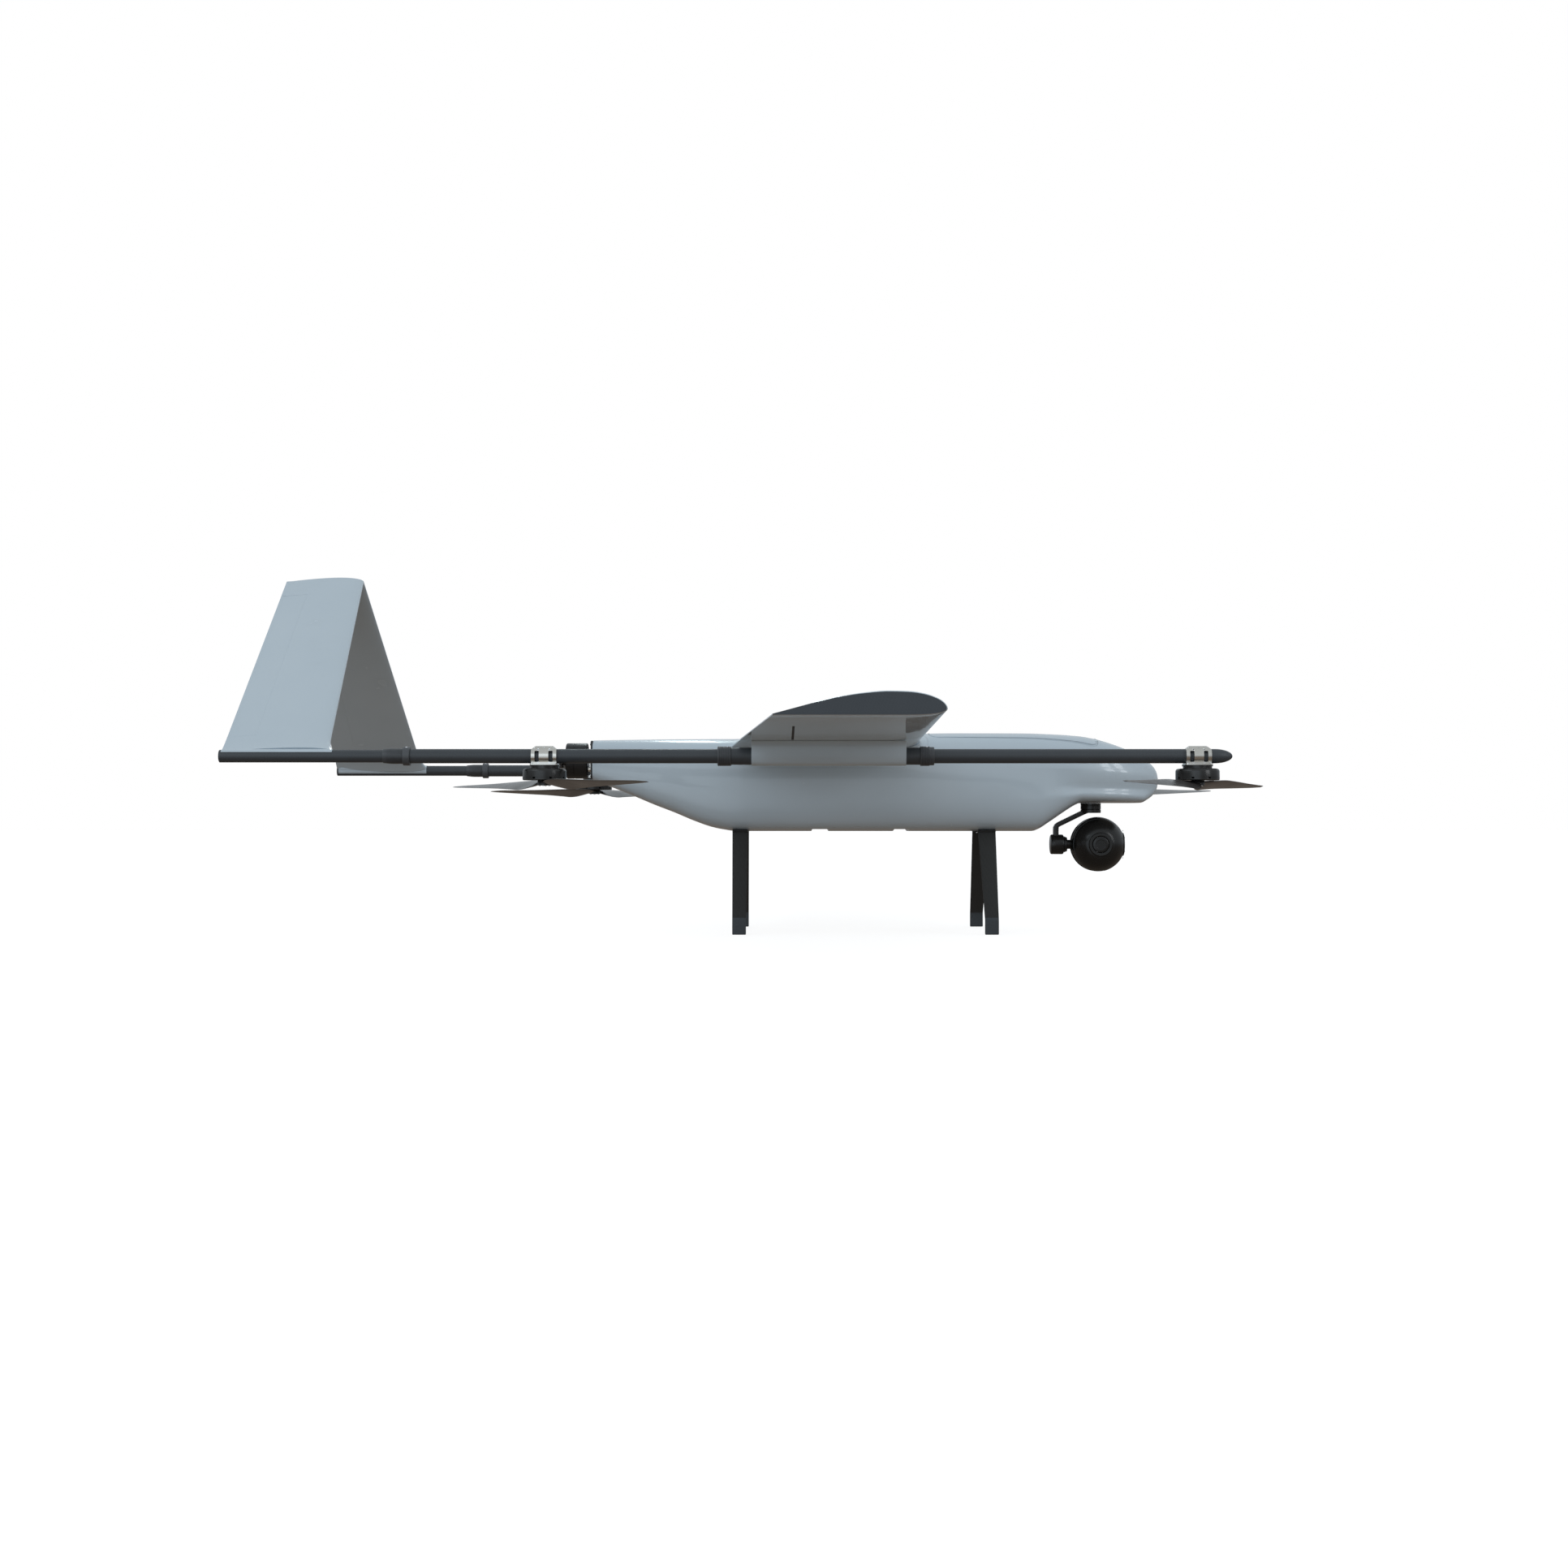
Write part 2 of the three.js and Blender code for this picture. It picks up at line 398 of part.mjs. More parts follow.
pusherProp = join(pusherProp, spinner);
pusherProp = rot(pusherProp, 'z', 0);
// blades lie along Y at rest, spinner points aft
put('prop_pusher', map(pusherProp, (p) => [p[2] - 441.4, p[0], PUSH_Z + p[1]]), 'carbon');

// --------------------------------------------------------------------- tail
const TAIL_ANG = (Math.atan2(TAIL_APEX_Z - BOOM_Z, BOOM_Y) * 180) / Math.PI;
const TAIL_S = Math.hypot(TAIL_APEX_Z - BOOM_Z, BOOM_Y);
const NACA = [0, 0.0125, 0.05, 0.12, 0.22, 0.34, 0.48, 0.62, 0.76, 0.88, 1];
const naca = (x) => 5 * (0.2969 * Math.sqrt(x) - 0.126 * x - 0.3516 * x * x + 0.2843 * x ** 3 - 0.1036 * x ** 4);
const tailT = (s) => 16.8 + ((14 - 16.8) * s) / TAIL_S;
const tailLE = (s) => TAIL_LE_ROOT + ((TAIL_LE_APEX - TAIL_LE_ROOT) * s) / TAIL_S;
function tailSec(s) {
  const le = tailLE(s), c = le - TAIL_TE, t = tailT(s);
  const up = NACA.map((x) => [le - x * c, s, Math.max(naca(x) * t, x > 0 ? 0.7 : 0)]);
  const lo = NACA.slice(1).reverse().map((x) => [le - x * c, s, -Math.max(naca(x) * t, 0.7)]);
  return [...up, ...lo];
}
// local: span along +Y from the boom axis, then leaned over towards the centre line
const toTail = (m) => {
  const a = (TAIL_ANG * Math.PI) / 180, c = Math.cos(a), s = Math.sin(a);
  return map(m, (p) => [p[0], BOOM_Y - (p[1] * c - p[2] * s), BOOM_Z + p[1] * s + p[2] * c]);
};
const tA = (TAIL_ANG * Math.PI) / 180;
const apexRing = tailSec(TAIL_S).map((p) => [p[0], (BOOM_Y - 0.15 + p[2] * Math.sin(tA)) / Math.cos(tA), p[2]]);
const panelLocal = loft([tailSec(TAIL_D / 2 + 0.5), apexRing], (p) => [p[0], p[2]]);
const RS0 = 60, RS1 = 560;
const rudHalf = (s) => { const le = tailLE(s), c = le - TAIL_TE; return naca((le - RUD_X) / c) * tailT(s); };
const rr0 = rudHalf(RS0), rr1 = rudHalf(RS1);
const rudR = (s) => rr0 + ((rr1 - rr0) * (s - RS0)) / (RS1 - RS0);
const panel = cut(panelLocal, flapTool(RUD_X, () => 0, rudR, RS0, RS1, 0.5, -1000));
both('tail_panel', toTail(panel), 'paint');
const rud = common(panelLocal, flapTool(RUD_X - 0.5, () => 0, rudR, RS0 + 0.8, RS1 - 0.8, -0.3, -1000));
both('ruddervator', toTail(rud), 'paint');
const rp = (s) => { const a = (TAIL_ANG * Math.PI) / 180; return [RUD_X, BOOM_Y - s * Math.cos(a), BOOM_Z + s * Math.sin(a)]; };
export const RUDDER_HINGE = [rp(RS0), rp(RS1)];

// --------------------------------------------------------------------- legs
// side outline in YZ, wider in X at the top than at the foot
const legPoly = [[58, 202], [66.6, 202], [170.5, 31.5], [170.5, 0], [163.5, 0], [163.5, 29.6]];
function legSolid(xc, top) {
  const hw = (z) => (z < 30 ? 13 : 13 + ((top / 2 - 13) * (z - 30)) / 165);
  return loft([legPoly.map(([y, z]) => [xc - hw(z), y, z]), legPoly.map(([y, z]) => [xc + hw(z), y, z])], (p) => [p[1], p[2]]);
}
const fusGrown = fusSolid(GAP, 0, -374, 735);
const legFront = cut(legSolid(LEG_X[0], 33.6), fusGrown);
const legRear = cut(legSolid(LEG_X[1], 30), fusGrown);
both('leg_front', legFront, 'leg');
both('leg_rear', legRear, 'leg');

// -------------------------------------------------------------------- gimbal
put('gimbal_mount', move(revolve([[0, 250.5], [19.85, 250.5], [19.85, 238.6], [0, 238.6]], 28), GIM_X, 0, 0), 'black');
const armPoly = [[596, 238.2], [588, 236.5], [533.5, 209], [530.6, 205], [530.6, 178], [540.4, 178], [540.4, 203], [592, 227.5], [600, 231.2]];
let arm = join(
  move(revolve([[0, 238.2], [19.85, 238.2], [19.85, 231.2], [0, 231.2]], 28), GIM_X, 0, 0),
  slabY(armPoly, -9, 9),
  cylX(19.5, 525, 550, 0, BALL_Z, 28),
);
put('gimbal_yaw_arm', arm, 'black');
const polar = (r, a) => [BALL_X + r * Math.cos((a * Math.PI) / 180), BALL_Z + r * Math.sin((a * Math.PI) / 180)];
let yoke = join(
  cylX(15, 550.4, 557, 0, BALL_Z, 24),
  cylX(9, 556.5, BALL_X, 0, BALL_Z, 20),
  cylY(9, -47, 47, BALL_X, BALL_Z, 20),
  cylY(15.6, -49.6, -45, BALL_X, BALL_Z, 24), cylY(15.6, 45, 49.6, BALL_X, BALL_Z, 24),
);
put('gimbal_yoke', yoke, 'black');
// hollow ball, flat window in front, slot behind and below for the yoke neck
const arcPts = (r, yEnd, n) => {
  const a0 = Math.acos(Math.min(1, yEnd / r)), out = [];
  for (let i = 0; i <= n; i++) { const a = -(Math.PI / 2 - a0) + ((Math.PI - 2 * a0) * i) / n; out.push([r * Math.cos(a), r * Math.sin(a)]); }
  return out;
};
const outArc = arcPts(BALL_R, 49, 8), inArc = arcPts(BALL_R - 3.5, 44.4, 5);
let ball = alongY(revolve([...outArc, [16.2, 49], [16.2, 44.4], ...inArc.reverse(), [16.2, -44.4], [16.2, -49]], 24));
ball = move(ball, BALL_X, 0, BALL_Z);
const sector = [];
for (let a = 137; a <= 284; a += 21) sector.push(polar(80, a));
const slotTool = slabY([[BALL_X, BALL_Z], ...sector], -9.7, 9.7);
ball = cut(ball, slotTool, box(667.5, 690, -60, 60, 100, 240), cylX(23.4, 640, 690, 0, BALL_Z, 24));
put('gimbal_ball', ball, 'black');
put('gimbal_lens', move(alongX(revolve([[0, 634], [16, 634], [16, 640], [23, 652], [23, 668.6], [20.5, 668.6], [19.5, 666], [0, 667.2]], 24)), 0, 0, BALL_Z), 'lens');

export default group;
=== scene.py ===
import math

import bmesh
import bpy
import numpy as np
from mathutils import Matrix, Vector


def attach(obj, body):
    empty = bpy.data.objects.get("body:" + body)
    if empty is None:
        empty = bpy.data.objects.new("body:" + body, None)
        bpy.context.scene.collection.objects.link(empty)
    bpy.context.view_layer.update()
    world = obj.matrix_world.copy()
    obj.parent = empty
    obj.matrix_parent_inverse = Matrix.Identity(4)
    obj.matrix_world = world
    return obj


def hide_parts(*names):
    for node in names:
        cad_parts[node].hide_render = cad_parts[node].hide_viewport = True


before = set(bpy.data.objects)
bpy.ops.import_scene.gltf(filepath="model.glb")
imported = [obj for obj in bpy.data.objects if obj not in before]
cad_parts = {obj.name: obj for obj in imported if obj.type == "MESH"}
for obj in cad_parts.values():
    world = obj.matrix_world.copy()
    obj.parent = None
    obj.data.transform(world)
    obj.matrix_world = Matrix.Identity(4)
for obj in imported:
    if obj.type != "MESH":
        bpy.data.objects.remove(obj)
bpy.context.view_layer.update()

# ------------------------------------------------------------------ dimensions
# millimetres, drawn about the same drawing origin as the CAD; OX moves it to the frame's origin
OX = 46.8
BOOM_Y, BOOM_Z = 502.0, 327.2
WING_Z, WING_T = 353.3, 0.1415
ROOT_Y, TIP_Y = 96.3, 1392.0
WLE = ([90, 502, 1392], [257, 244.6, 218.7])
WTE = ([90, 502, 1392], [-106, -79.2, -16])
AIL_X, AIL_Y0, AIL_Y1 = 13.0, 563.0, 1072.0
MOTOR_X = {"front": 720.0, "rear": -417.0}
PUSH_Z = 333.8
APEX_Z = 687.7
T_TE, T_LE0, T_LE1 = -982.0, -795.0, -830.0
RUD_X, RS0, RS1 = -931.0, 60.0, 560.0
GIM_X, BALL_X, BALL_Z, BALL_R = 604.5, 617.4, 169.6, 54.0
SIDES = (("left", 1), ("right", -1))


# ------------------------------------------------------------------ materials
class Nodes:
    """Short hand for building one material's node tree."""

    def __init__(self, name):
        self.mat = bpy.data.materials.new(name)
        self.mat.use_nodes = True
        self.t = self.mat.node_tree
        self.t.nodes.clear()
        self.out = self.t.nodes.new("ShaderNodeOutputMaterial")
        self.b = self.t.nodes.new("ShaderNodeBsdfPrincipled")
        self.t.links.new(self.b.outputs[0], self.out.inputs["Surface"])
        self.co = self.t.nodes.new("ShaderNodeTexCoord").outputs["Object"]

    def put(self, socket, value):
        if hasattr(value, "is_linked"):
            self.t.links.new(value, socket)
        else:
            socket.default_value = value

    def mapping(self, scale=(1, 1, 1), rot=(0, 0, 0), loc=(0, 0, 0)):
        n = self.t.nodes.new("ShaderNodeMapping")
        self.t.links.new(self.co, n.inputs["Vector"])
        n.inputs["Scale"].default_value = scale
        n.inputs["Rotation"].default_value = rot
        n.inputs["Location"].default_value = loc
        return n.outputs[0]

    def noise(self, scale, detail=3.0, rough=0.55, vec=None, distortion=0.0):
        n = self.t.nodes.new("ShaderNodeTexNoise")
        self.t.links.new(vec if vec is not None else self.co, n.inputs["Vector"])
        n.inputs["Scale"].default_value = scale
        n.inputs["Detail"].default_value = detail
        n.inputs["Roughness"].default_value = rough
        n.inputs["Distortion"].default_value = distortion
        return n.outputs[0]

    def wave(self, scale, vec, kind="BANDS", direction="X", distortion=0.0):
        n = self.t.nodes.new("ShaderNodeTexWave")
        n.wave_type = kind
        n.bands_direction = direction
        self.t.links.new(vec, n.inputs["Vector"])
        n.inputs["Scale"].default_value = scale
        n.inputs["Distortion"].default_value = distortion
        return n.outputs["Fac"]

    def ramp(self, fac, stops):
        n = self.t.nodes.new("ShaderNodeValToRGB")
        self.t.links.new(fac, n.inputs[0])
        e = n.color_ramp.elements
        while len(e) < len(stops):
            e.new(0.5)
        for el, (p, c) in zip(e, stops):
            el.position = p
            el.color = (*c, 1.0) if len(c) == 3 else c
        return n.outputs[0]

    def span(self, fac, a, b, lo=0.0, hi=1.0):
        n = self.t.nodes.new("ShaderNodeMapRange")
        self.t.links.new(fac, n.inputs[0])
        n.inputs[1].default_value, n.inputs[2].default_value = a, b
        n.inputs[3].default_value, n.inputs[4].default_value = lo, hi
        return n.outputs[0]

    def math(self, op, a, b=None):
        n = self.t.nodes.new("ShaderNodeMath")
        n.operation = op
        self.put(n.inputs[0], a)
        if b is not None:
            self.put(n.inputs[1], b)
        return n.outputs[0]

    def mix(self, fac, a, b, mode="MIX"):
        n = self.t.nodes.new("ShaderNodeMix")
        n.data_type = "RGBA"
        n.blend_type = mode
        self.put(n.inputs[0], fac)
        self.put(n.inputs[6], a if hasattr(a, "is_linked") else (*a, 1.0))
        self.put(n.inputs[7], b if hasattr(b, "is_linked") else (*b, 1.0))
        return n.outputs[2]

    def edge(self, lo=0.515, hi=0.56):
        """1 on convex edges, 0 elsewhere."""
        g = self.t.nodes.new("ShaderNodeNewGeometry")
        return self.span(g.outputs["Pointiness"], lo, hi)

    def bump(self, height, strength, dist=0.001, normal=None):
        n = self.t.nodes.new("ShaderNodeBump")
        n.inputs["Strength"].default_value = strength
        n.inputs["Distance"].default_value = dist
        self.t.links.new(height, n.inputs["Height"])
        if normal is not None:
            self.t.links.new(normal, n.inputs["Normal"])
        return n.outputs[0]

    def set(self, **kw):
        names = {"color": "Base Color", "rough": "Roughness", "metal": "Metallic", "coat": "Coat Weight",
                 "coat_rough": "Coat Roughness", "ior": "IOR", "spec": "Specular IOR Level", "normal": "Normal",
                 "alpha": "Alpha", "trans": "Transmission Weight", "coat_ior": "Coat IOR"}
        for k, v in kw.items():
            self.put(self.b.inputs[names[k]], (*v, 1.0) if isinstance(v, tuple) and len(v) == 3 else v)
        return self


def m_paint(name, a, b, dirt, rough=(0.25, 0.28), coat=0.6):
    n = Nodes(name)
    big = n.noise(2.6, 4, 0.6)
    mid = n.noise(23, 5, 0.6)
    col = n.ramp(big, [(0.3, a), (0.7, b)])
    col = n.mix(n.span(mid, 0.55, 0.95, 0, 0.16), col, dirt)
    specks = n.noise(210, 2, 0.5)
    col = n.mix(n.span(specks, 0.70, 0.82, 0, 0.10), col, tuple(c * 0.7 for c in dirt))
    peel = n.noise(460, 2, 0.4)
    waver = n.noise(14, 2, 0.5)
    nrm = n.bump(peel, 0.02, 0.00012)
    nrm = n.bump(waver, 0.02, 0.001, nrm)
    n.set(color=col, rough=n.span(mid, 0.3, 0.8, *rough), coat=coat, coat_rough=0.04, normal=nrm, spec=0.5)
    return n.mat


def m_carbon(name, lo, hi, tow=2.4, rough=(0.34, 0.5), coat=0.25, rot=0.0, spec=0.5, weave=0.12):
    """Woven carbon: tows crossing at right angles, with a slight sheen change from tow to tow."""
    n = Nodes(name)
    v = n.mapping(rot=(0.6, 0.35, 0.785 + rot))
    w1 = n.wave(157.0 / tow, v, direction="X")
    w2 = n.wave(157.0 / tow, v, direction="Y")
    chk = n.math("GREATER_THAN", n.math("ADD", w1, n.math("MULTIPLY", w2, -1.0)), 0.0)
    patch = n.noise(31, 3, 0.5)
    fine = n.noise(900, 2, 0.5)
    col = n.mix(n.span(patch, 0.25, 0.8, 0.2, 0.8), lo, hi)
    col = n.mix(n.math("MULTIPLY", chk, weave), col, tuple(min(1, c * 1.5) for c in hi))
    col = n.mix(n.span(fine, 0.62, 0.8, 0, 0.15), col, tuple(c * 0.6 for c in lo))
    r = n.math("ADD", n.span(patch, 0.3, 0.8, *rough), n.math("MULTIPLY", chk, -0.03))
    nrm = n.bump(n.math("ADD", w1, w2), 0.03, 0.0002)
    nrm = n.bump(fine, 0.05, 0.0001, nrm)
    n.set(color=col, rough=r, coat=coat, coat_rough=0.2, normal=nrm, spec=spec)
    return n.mat


def m_plastic(name, base, var=0.35, rough=(0.42, 0.6), bump=0.12, metal=0.0, edge=0.25, spec=0.5, coat=0.0):
    n = Nodes(name)
    f = n.noise(38, 4, 0.6)
    g = n.noise(620, 2, 0.5)
    col = n.ramp(f, [(0.3, tuple(c * (1 - var) for c in base)), (0.72, tuple(min(1, c * (1 + var)) for c in base))])
    col = n.mix(n.math("MULTIPLY", n.edge(), edge), col, tuple(min(1, c * 2.4 + 0.05) for c in base))
    nrm = n.bump(g, bump, 0.0003)
    n.set(color=col, rough=n.span(f, 0.3, 0.8, *rough), metal=metal, normal=nrm, spec=spec, coat=coat, coat_rough=0.15)
    return n.mat


def m_metal(name, base, rough=(0.2, 0.36), brush=(1, 1, 40), var=0.12, edge=0.35, metal=1.0, bump=0.06, soil=(0.2, 0.18, 0.16)):
    n = Nodes(name)
    v = n.mapping(scale=brush)
    s = n.noise(60, 4, 0.6, v)
    big = n.noise(30, 3, 0.55)
    col = n.ramp(s, [(0.25, tuple(c * (1 - var) for c in base)), (0.75, tuple(min(1, c * (1 + var)) for c in base))])
    col = n.mix(n.span(big, 0.62, 0.9, 0, 0.35), col, soil)
    col = n.mix(n.math("MULTIPLY", n.edge(), edge), col, tuple(min(1, c * 1.35 + 0.06) for c in base))
    n.set(color=col, rough=n.span(s, 0.25, 0.8, *rough), metal=metal, normal=n.bump(s, bump, 0.0003))
    return n.mat


PAINT = m_paint("gloss_pale_grey_paint", (0.50, 0.575, 0.63), (0.535, 0.605, 0.655), (0.40, 0.43, 0.45))
PAINT_IN = m_plastic("composite_inner_skin", (0.30, 0.30, 0.27), 0.25, (0.6, 0.8), 0.3, spec=0.3)
TIP = m_carbon("wing_tip_charcoal", (0.066, 0.074, 0.084), (0.078, 0.087, 0.098), 1.6, (0.55, 0.62), 0.0, spec=0.25, weave=0.05)
SEAL = m_plastic("hinge_seal_black", (0.012, 0.012, 0.012), 0.3, (0.55, 0.7), 0.2, edge=0.05, spec=0.2)
TUBE = m_carbon("carbon_tube", (0.044, 0.049, 0.055), (0.052, 0.058, 0.065), 1.8, (0.42, 0.5), 0.0, spec=0.45, weave=0.07)
COLLAR = m_plastic("collar_black", (0.040, 0.043, 0.048), 0.25, (0.36, 0.5), 0.15, edge=0.3)
LEG = m_carbon("leg_plate", (0.030, 0.030, 0.029), (0.036, 0.0355, 0.034), 1.8, (0.6, 0.72), 0.0, 0.3, 0.25, 0.06)
# lighter, bluer copy of the leg carbon for the bend and upright foot: painted light on one bent plate
FOOT_PAINTED_LIT = m_carbon("leg_foot_painted_light", (0.045, 0.052, 0.058), (0.052, 0.060, 0.067), 1.8, (0.5, 0.6), 0.0, 0.3, 0.35, 0.06)
BLADE = m_carbon("propeller_carbon", (0.050, 0.044, 0.041), (0.074, 0.066, 0.062), 2.0, (0.3, 0.44), 0.3, 0.5)
ALU = m_metal("machined_aluminium", (0.62, 0.59, 0.54), (0.16, 0.26), (1, 30, 30), 0.08, 0.3)
STEEL = m_metal("screw_steel", (0.78, 0.78, 0.78), (0.12, 0.25), (1, 1, 1), 0.08)
ANOD = m_metal("motor_anodised", (0.040, 0.039, 0.038), (0.20, 0.28), (1, 1, 30), 0.12, 0.15, 0.75, 0.02, (0.02, 0.02, 0.02))
ANOD_DARK = m_metal("motor_black", (0.022, 0.022, 0.023), (0.3, 0.45), (1, 1, 20), 0.25, 0.3, 0.6, 0.08, (0.01, 0.01, 0.01))
COPPER = m_metal("winding_copper", (0.55, 0.24, 0.10), (0.3, 0.5), (1, 1, 60), 0.3, 0.2)
GIMBAL = m_metal("gimbal_black", (0.017, 0.0162, 0.0155), (0.24, 0.30), (1, 1, 1), 0.12, 0.12, 0.35, 0.01, (0.008, 0.008, 0.008))
GIMBAL_SEAM = m_plastic("gimbal_seam", (0.006, 0.006, 0.006), 0.3, (0.5, 0.7), 0.1, edge=0.1, spec=0.2)
BATTERY = m_plastic("battery_wrap", (0.05, 0.07, 0.12), 0.3, (0.35, 0.5), 0.1, spec=0.5)
STRAP = m_plastic("battery_strap", (0.02, 0.02, 0.02), 0.4, (0.7, 0.9), 0.6, edge=0.1, spec=0.2)
BOXM = m_plastic("avionics_black", (0.03, 0.03, 0.032), 0.3, (0.4, 0.55), 0.15)


def m_lens():
    n = Nodes("lens_coated")
    f = n.noise(80, 3, 0.5)
    col = n.ramp(f, [(0.3, (0.004, 0.006, 0.012)), (0.7, (0.010, 0.008, 0.016))])
    n.set(color=col, rough=n.span(f, 0.2, 0.8, 0.03, 0.07), coat=1.0, coat_rough=0.02, spec=0.7)
    return n.mat


LENS = m_lens()


# ------------------------------------------------------------------- mesh kit
class Geo:
    def __init__(self):
        self.v, self.f, self.m = [], [], []

    def add(self, verts, faces, mat=0):
        o = len(self.v)
        self.v += [tuple(map(float, p)) for p in verts]
        self.f += [tuple(i + o for i in f) for f in faces]
        self.m += list(mat) if isinstance(mat, (list, tuple)) else [mat] * len(faces)
        return self

    def join(self, *gs):
        for g in gs:
            self.add(g.v, g.f, g.m)
        return self

    def xf(self, fn):
        g = Geo()
        g.v = [tuple(fn(*p)) for p in self.v]
        g.f, g.m = list(self.f), list(self.m)
        return g

    def move(self, x=0.0, y=0.0, z=0.0):
        return self.xf(lambda a, b, c: (a + x, b + y, c + z))

    def turn(self, axis, deg, at=(0, 0, 0)):
        c, s = math.cos(math.radians(deg)), math.sin(math.radians(deg))
        i, j = {"x": (1, 2), "y": (2, 0), "z": (0, 1)}[axis]

        def fn(*p):
            q = [p[k] - at[k] for k in range(3)]
            q[i], q[j] = c * q[i] - s * q[j], s * q[i] + c * q[j]
            return [q[k] + at[k] for k in range(3)]
        return self.xf(fn)

    def side(self, s):
        return self if s > 0 else self.xf(lambda x, y, z: (x, -y, z))


def lathe(prof, seg=64, axis="z", at=(0, 0, 0), mats=None, closed=None, skip=None):
    """Profile [(radius, height)] turned about an axis; from axis to axis, or a closed loop."""
    if closed is None:
        closed = prof[0][0] > 1e-6
    g = Geo()
    rows, v = [], []
    for r, h in prof:
        if r < 1e-6:
            rows.append([len(v)])
            v.append((0, 0, h))
        else:
            rows.append(list(range(len(v), len(v) + seg)))
            v += [(r * math.cos(2 * math.pi * i / seg), r * math.sin(2 * math.pi * i / seg), h) for i in range(seg)]
    faces, mm = [], []
    n = len(prof) if closed else len(prof) - 1
    for k in range(n):
        a, b = rows[k], rows[(k + 1) % len(prof)]
        for i in range(seg):
            if skip and skip(k, i):
                continue
            j = (i + 1) % seg
            if len(a) > 1 and len(b) > 1:
                faces.append((a[i], a[j], b[j], b[i]))
            elif len(a) > 1:
                faces.append((a[i], a[j], b[0]))
            elif len(b) > 1:
                faces.append((a[0], b[j], b[i]))
            else:
                continue
            mm.append(mats[k] if mats else 0)
    g.add(v, faces, mm)
    g.rows = rows
    if axis == "x":
        h = g.xf(lambda x, y, z: (z, x, y))
    elif axis == "y":
        h = g.xf(lambda x, y, z: (y, z, x))
    else:
        h = g
    h = h.move(*at)
    h.rows = rows
    return h


def ring_loft(rings, mats=None, caps=(True, True), cap_mats=(0, 0), wrap=True):
    """Quads between equal rings. mats gives a material index for each edge of the ring."""
    g = Geo()
    n = len(rings[0])
    v = [p for r in rings for p in r]
    faces, mm = [], []
    for k in range(len(rings) - 1):
        for i in range(n if wrap else n - 1):
            j = (i + 1) % n
            faces.append((k * n + i, k * n + j, (k + 1) * n + j, (k + 1) * n + i))
            mm.append(mats[i] if mats else 0)
    if caps[0]:
        faces.append(tuple(range(n)))
        mm.append(cap_mats[0])
    if caps[1]:
        faces.append(tuple((len(rings) - 1) * n + i for i in range(n)))
        mm.append(cap_mats[1])
    g.add(v, faces, mm)
    return g


def prism(poly, plane, a, b):
    """Outline pushed along the third axis. plane xz -> along y, yz -> along x, xy -> along z."""
    def at(p, h):
        return {"xz": (p[0], h, p[1]), "yz": (h, p[0], p[1]), "xy": (p[0], p[1], h)}[plane]
    return ring_loft([[at(p, a) for p in poly], [at(p, b) for p in poly]])


def block(x0, x1, y0, y1, z0, z1):
    return prism([(y0, z0), (y1, z0), (y1, z1), (y0, z1)], "yz", x0, x1)


def rounded_poly(poly, r, n=5):
    """Corners of a convex outline replaced by arcs of radius r."""
    out = []
    m = len(poly)
    for i in range(m):
        p0, p, p1 = (np.array(poly[(i + k) % m], float) for k in (-1, 0, 1))
        u, w = p0 - p, p1 - p
        lu, lw = np.linalg.norm(u), np.linalg.norm(w)
        u, w = u / lu, w / lw
        ang = math.acos(max(-1, min(1, float(u @ w))))
        rr = min(r, 0.45 * min(lu, lw) * math.tan(ang / 2))
        d = rr / math.tan(ang / 2)
        a, b = p + u * d, p + w * d
        for k in range(n + 1):
            t = k / n
            q = (1 - t) ** 2 * a + 2 * t * (1 - t) * p + t * t * b
            out.append((float(q[0]), float(q[1])))
    return out


def pchip(xs, ys):
    """Shape-keeping cubic through the points; returns a function."""
    xs, ys = np.array(xs, float), np.array(ys, float)
    h = np.diff(xs)
    d = np.diff(ys) / h
    m = np.zeros(len(xs))
    for i in range(1, len(xs) - 1):
        if d[i - 1] * d[i] > 0:
            w1, w2 = 2 * h[i] + h[i - 1], h[i] + 2 * h[i - 1]
            m[i] = (w1 + w2) / (w1 / d[i - 1] + w2 / d[i])
    m[0], m[-1] = d[0], d[-1]

    def f(x):
        x = min(max(x, xs[0]), xs[-1])
        k = min(int(np.searchsorted(xs, x, side="right")) - 1, len(xs) - 2)
        k = max(k, 0)
        t = (x - xs[k]) / h[k]
        return float((2 * t**3 - 3 * t**2 + 1) * ys[k] + (t**3 - 2 * t**2 + t) * h[k] * m[k]
                     + (-2 * t**3 + 3 * t**2) * ys[k + 1] + (t**3 - t**2) * h[k] * m[k + 1])
    return f


def raw(name, geo, mats):
    me = bpy.data.meshes.new(name)
    me.from_pydata([((x + OX) / 1000, y / 1000, z / 1000) for x, y, z in geo.v], [], geo.f)
    for m in mats:
        me.materials.append(m)
    me.polygons.foreach_set("material_index", geo.m)
    bm = bmesh.new()
    bm.from_mesh(me)
    bmesh.ops.remove_doubles(bm, verts=bm.verts, dist=2e-6)
    bmesh.ops.recalc_face_normals(bm, faces=bm.faces)
    bm.to_mesh(me)
    bm.free()
    ob = bpy.data.objects.new(name, me)
    bpy.context.scene.collection.objects.link(ob)
    return ob


def smooth(ob, angle=35):
    me = ob.data
    me.polygons.foreach_set("use_smooth", [True] * len(me.polygons))
    me.set_sharp_from_angle(angle=math.radians(angle))
    return ob


def bevel(ob, w, seg=2, angle=35):
    b = ob.modifiers.new("edge", "BEVEL")
    b.width = w / 1000
    b.segments = seg
    b.limit_method = "ANGLE"
    b.angle_limit = math.radians(angle)
    b.harden_normals = True
    b.use_clamp_overlap = True
    return ob


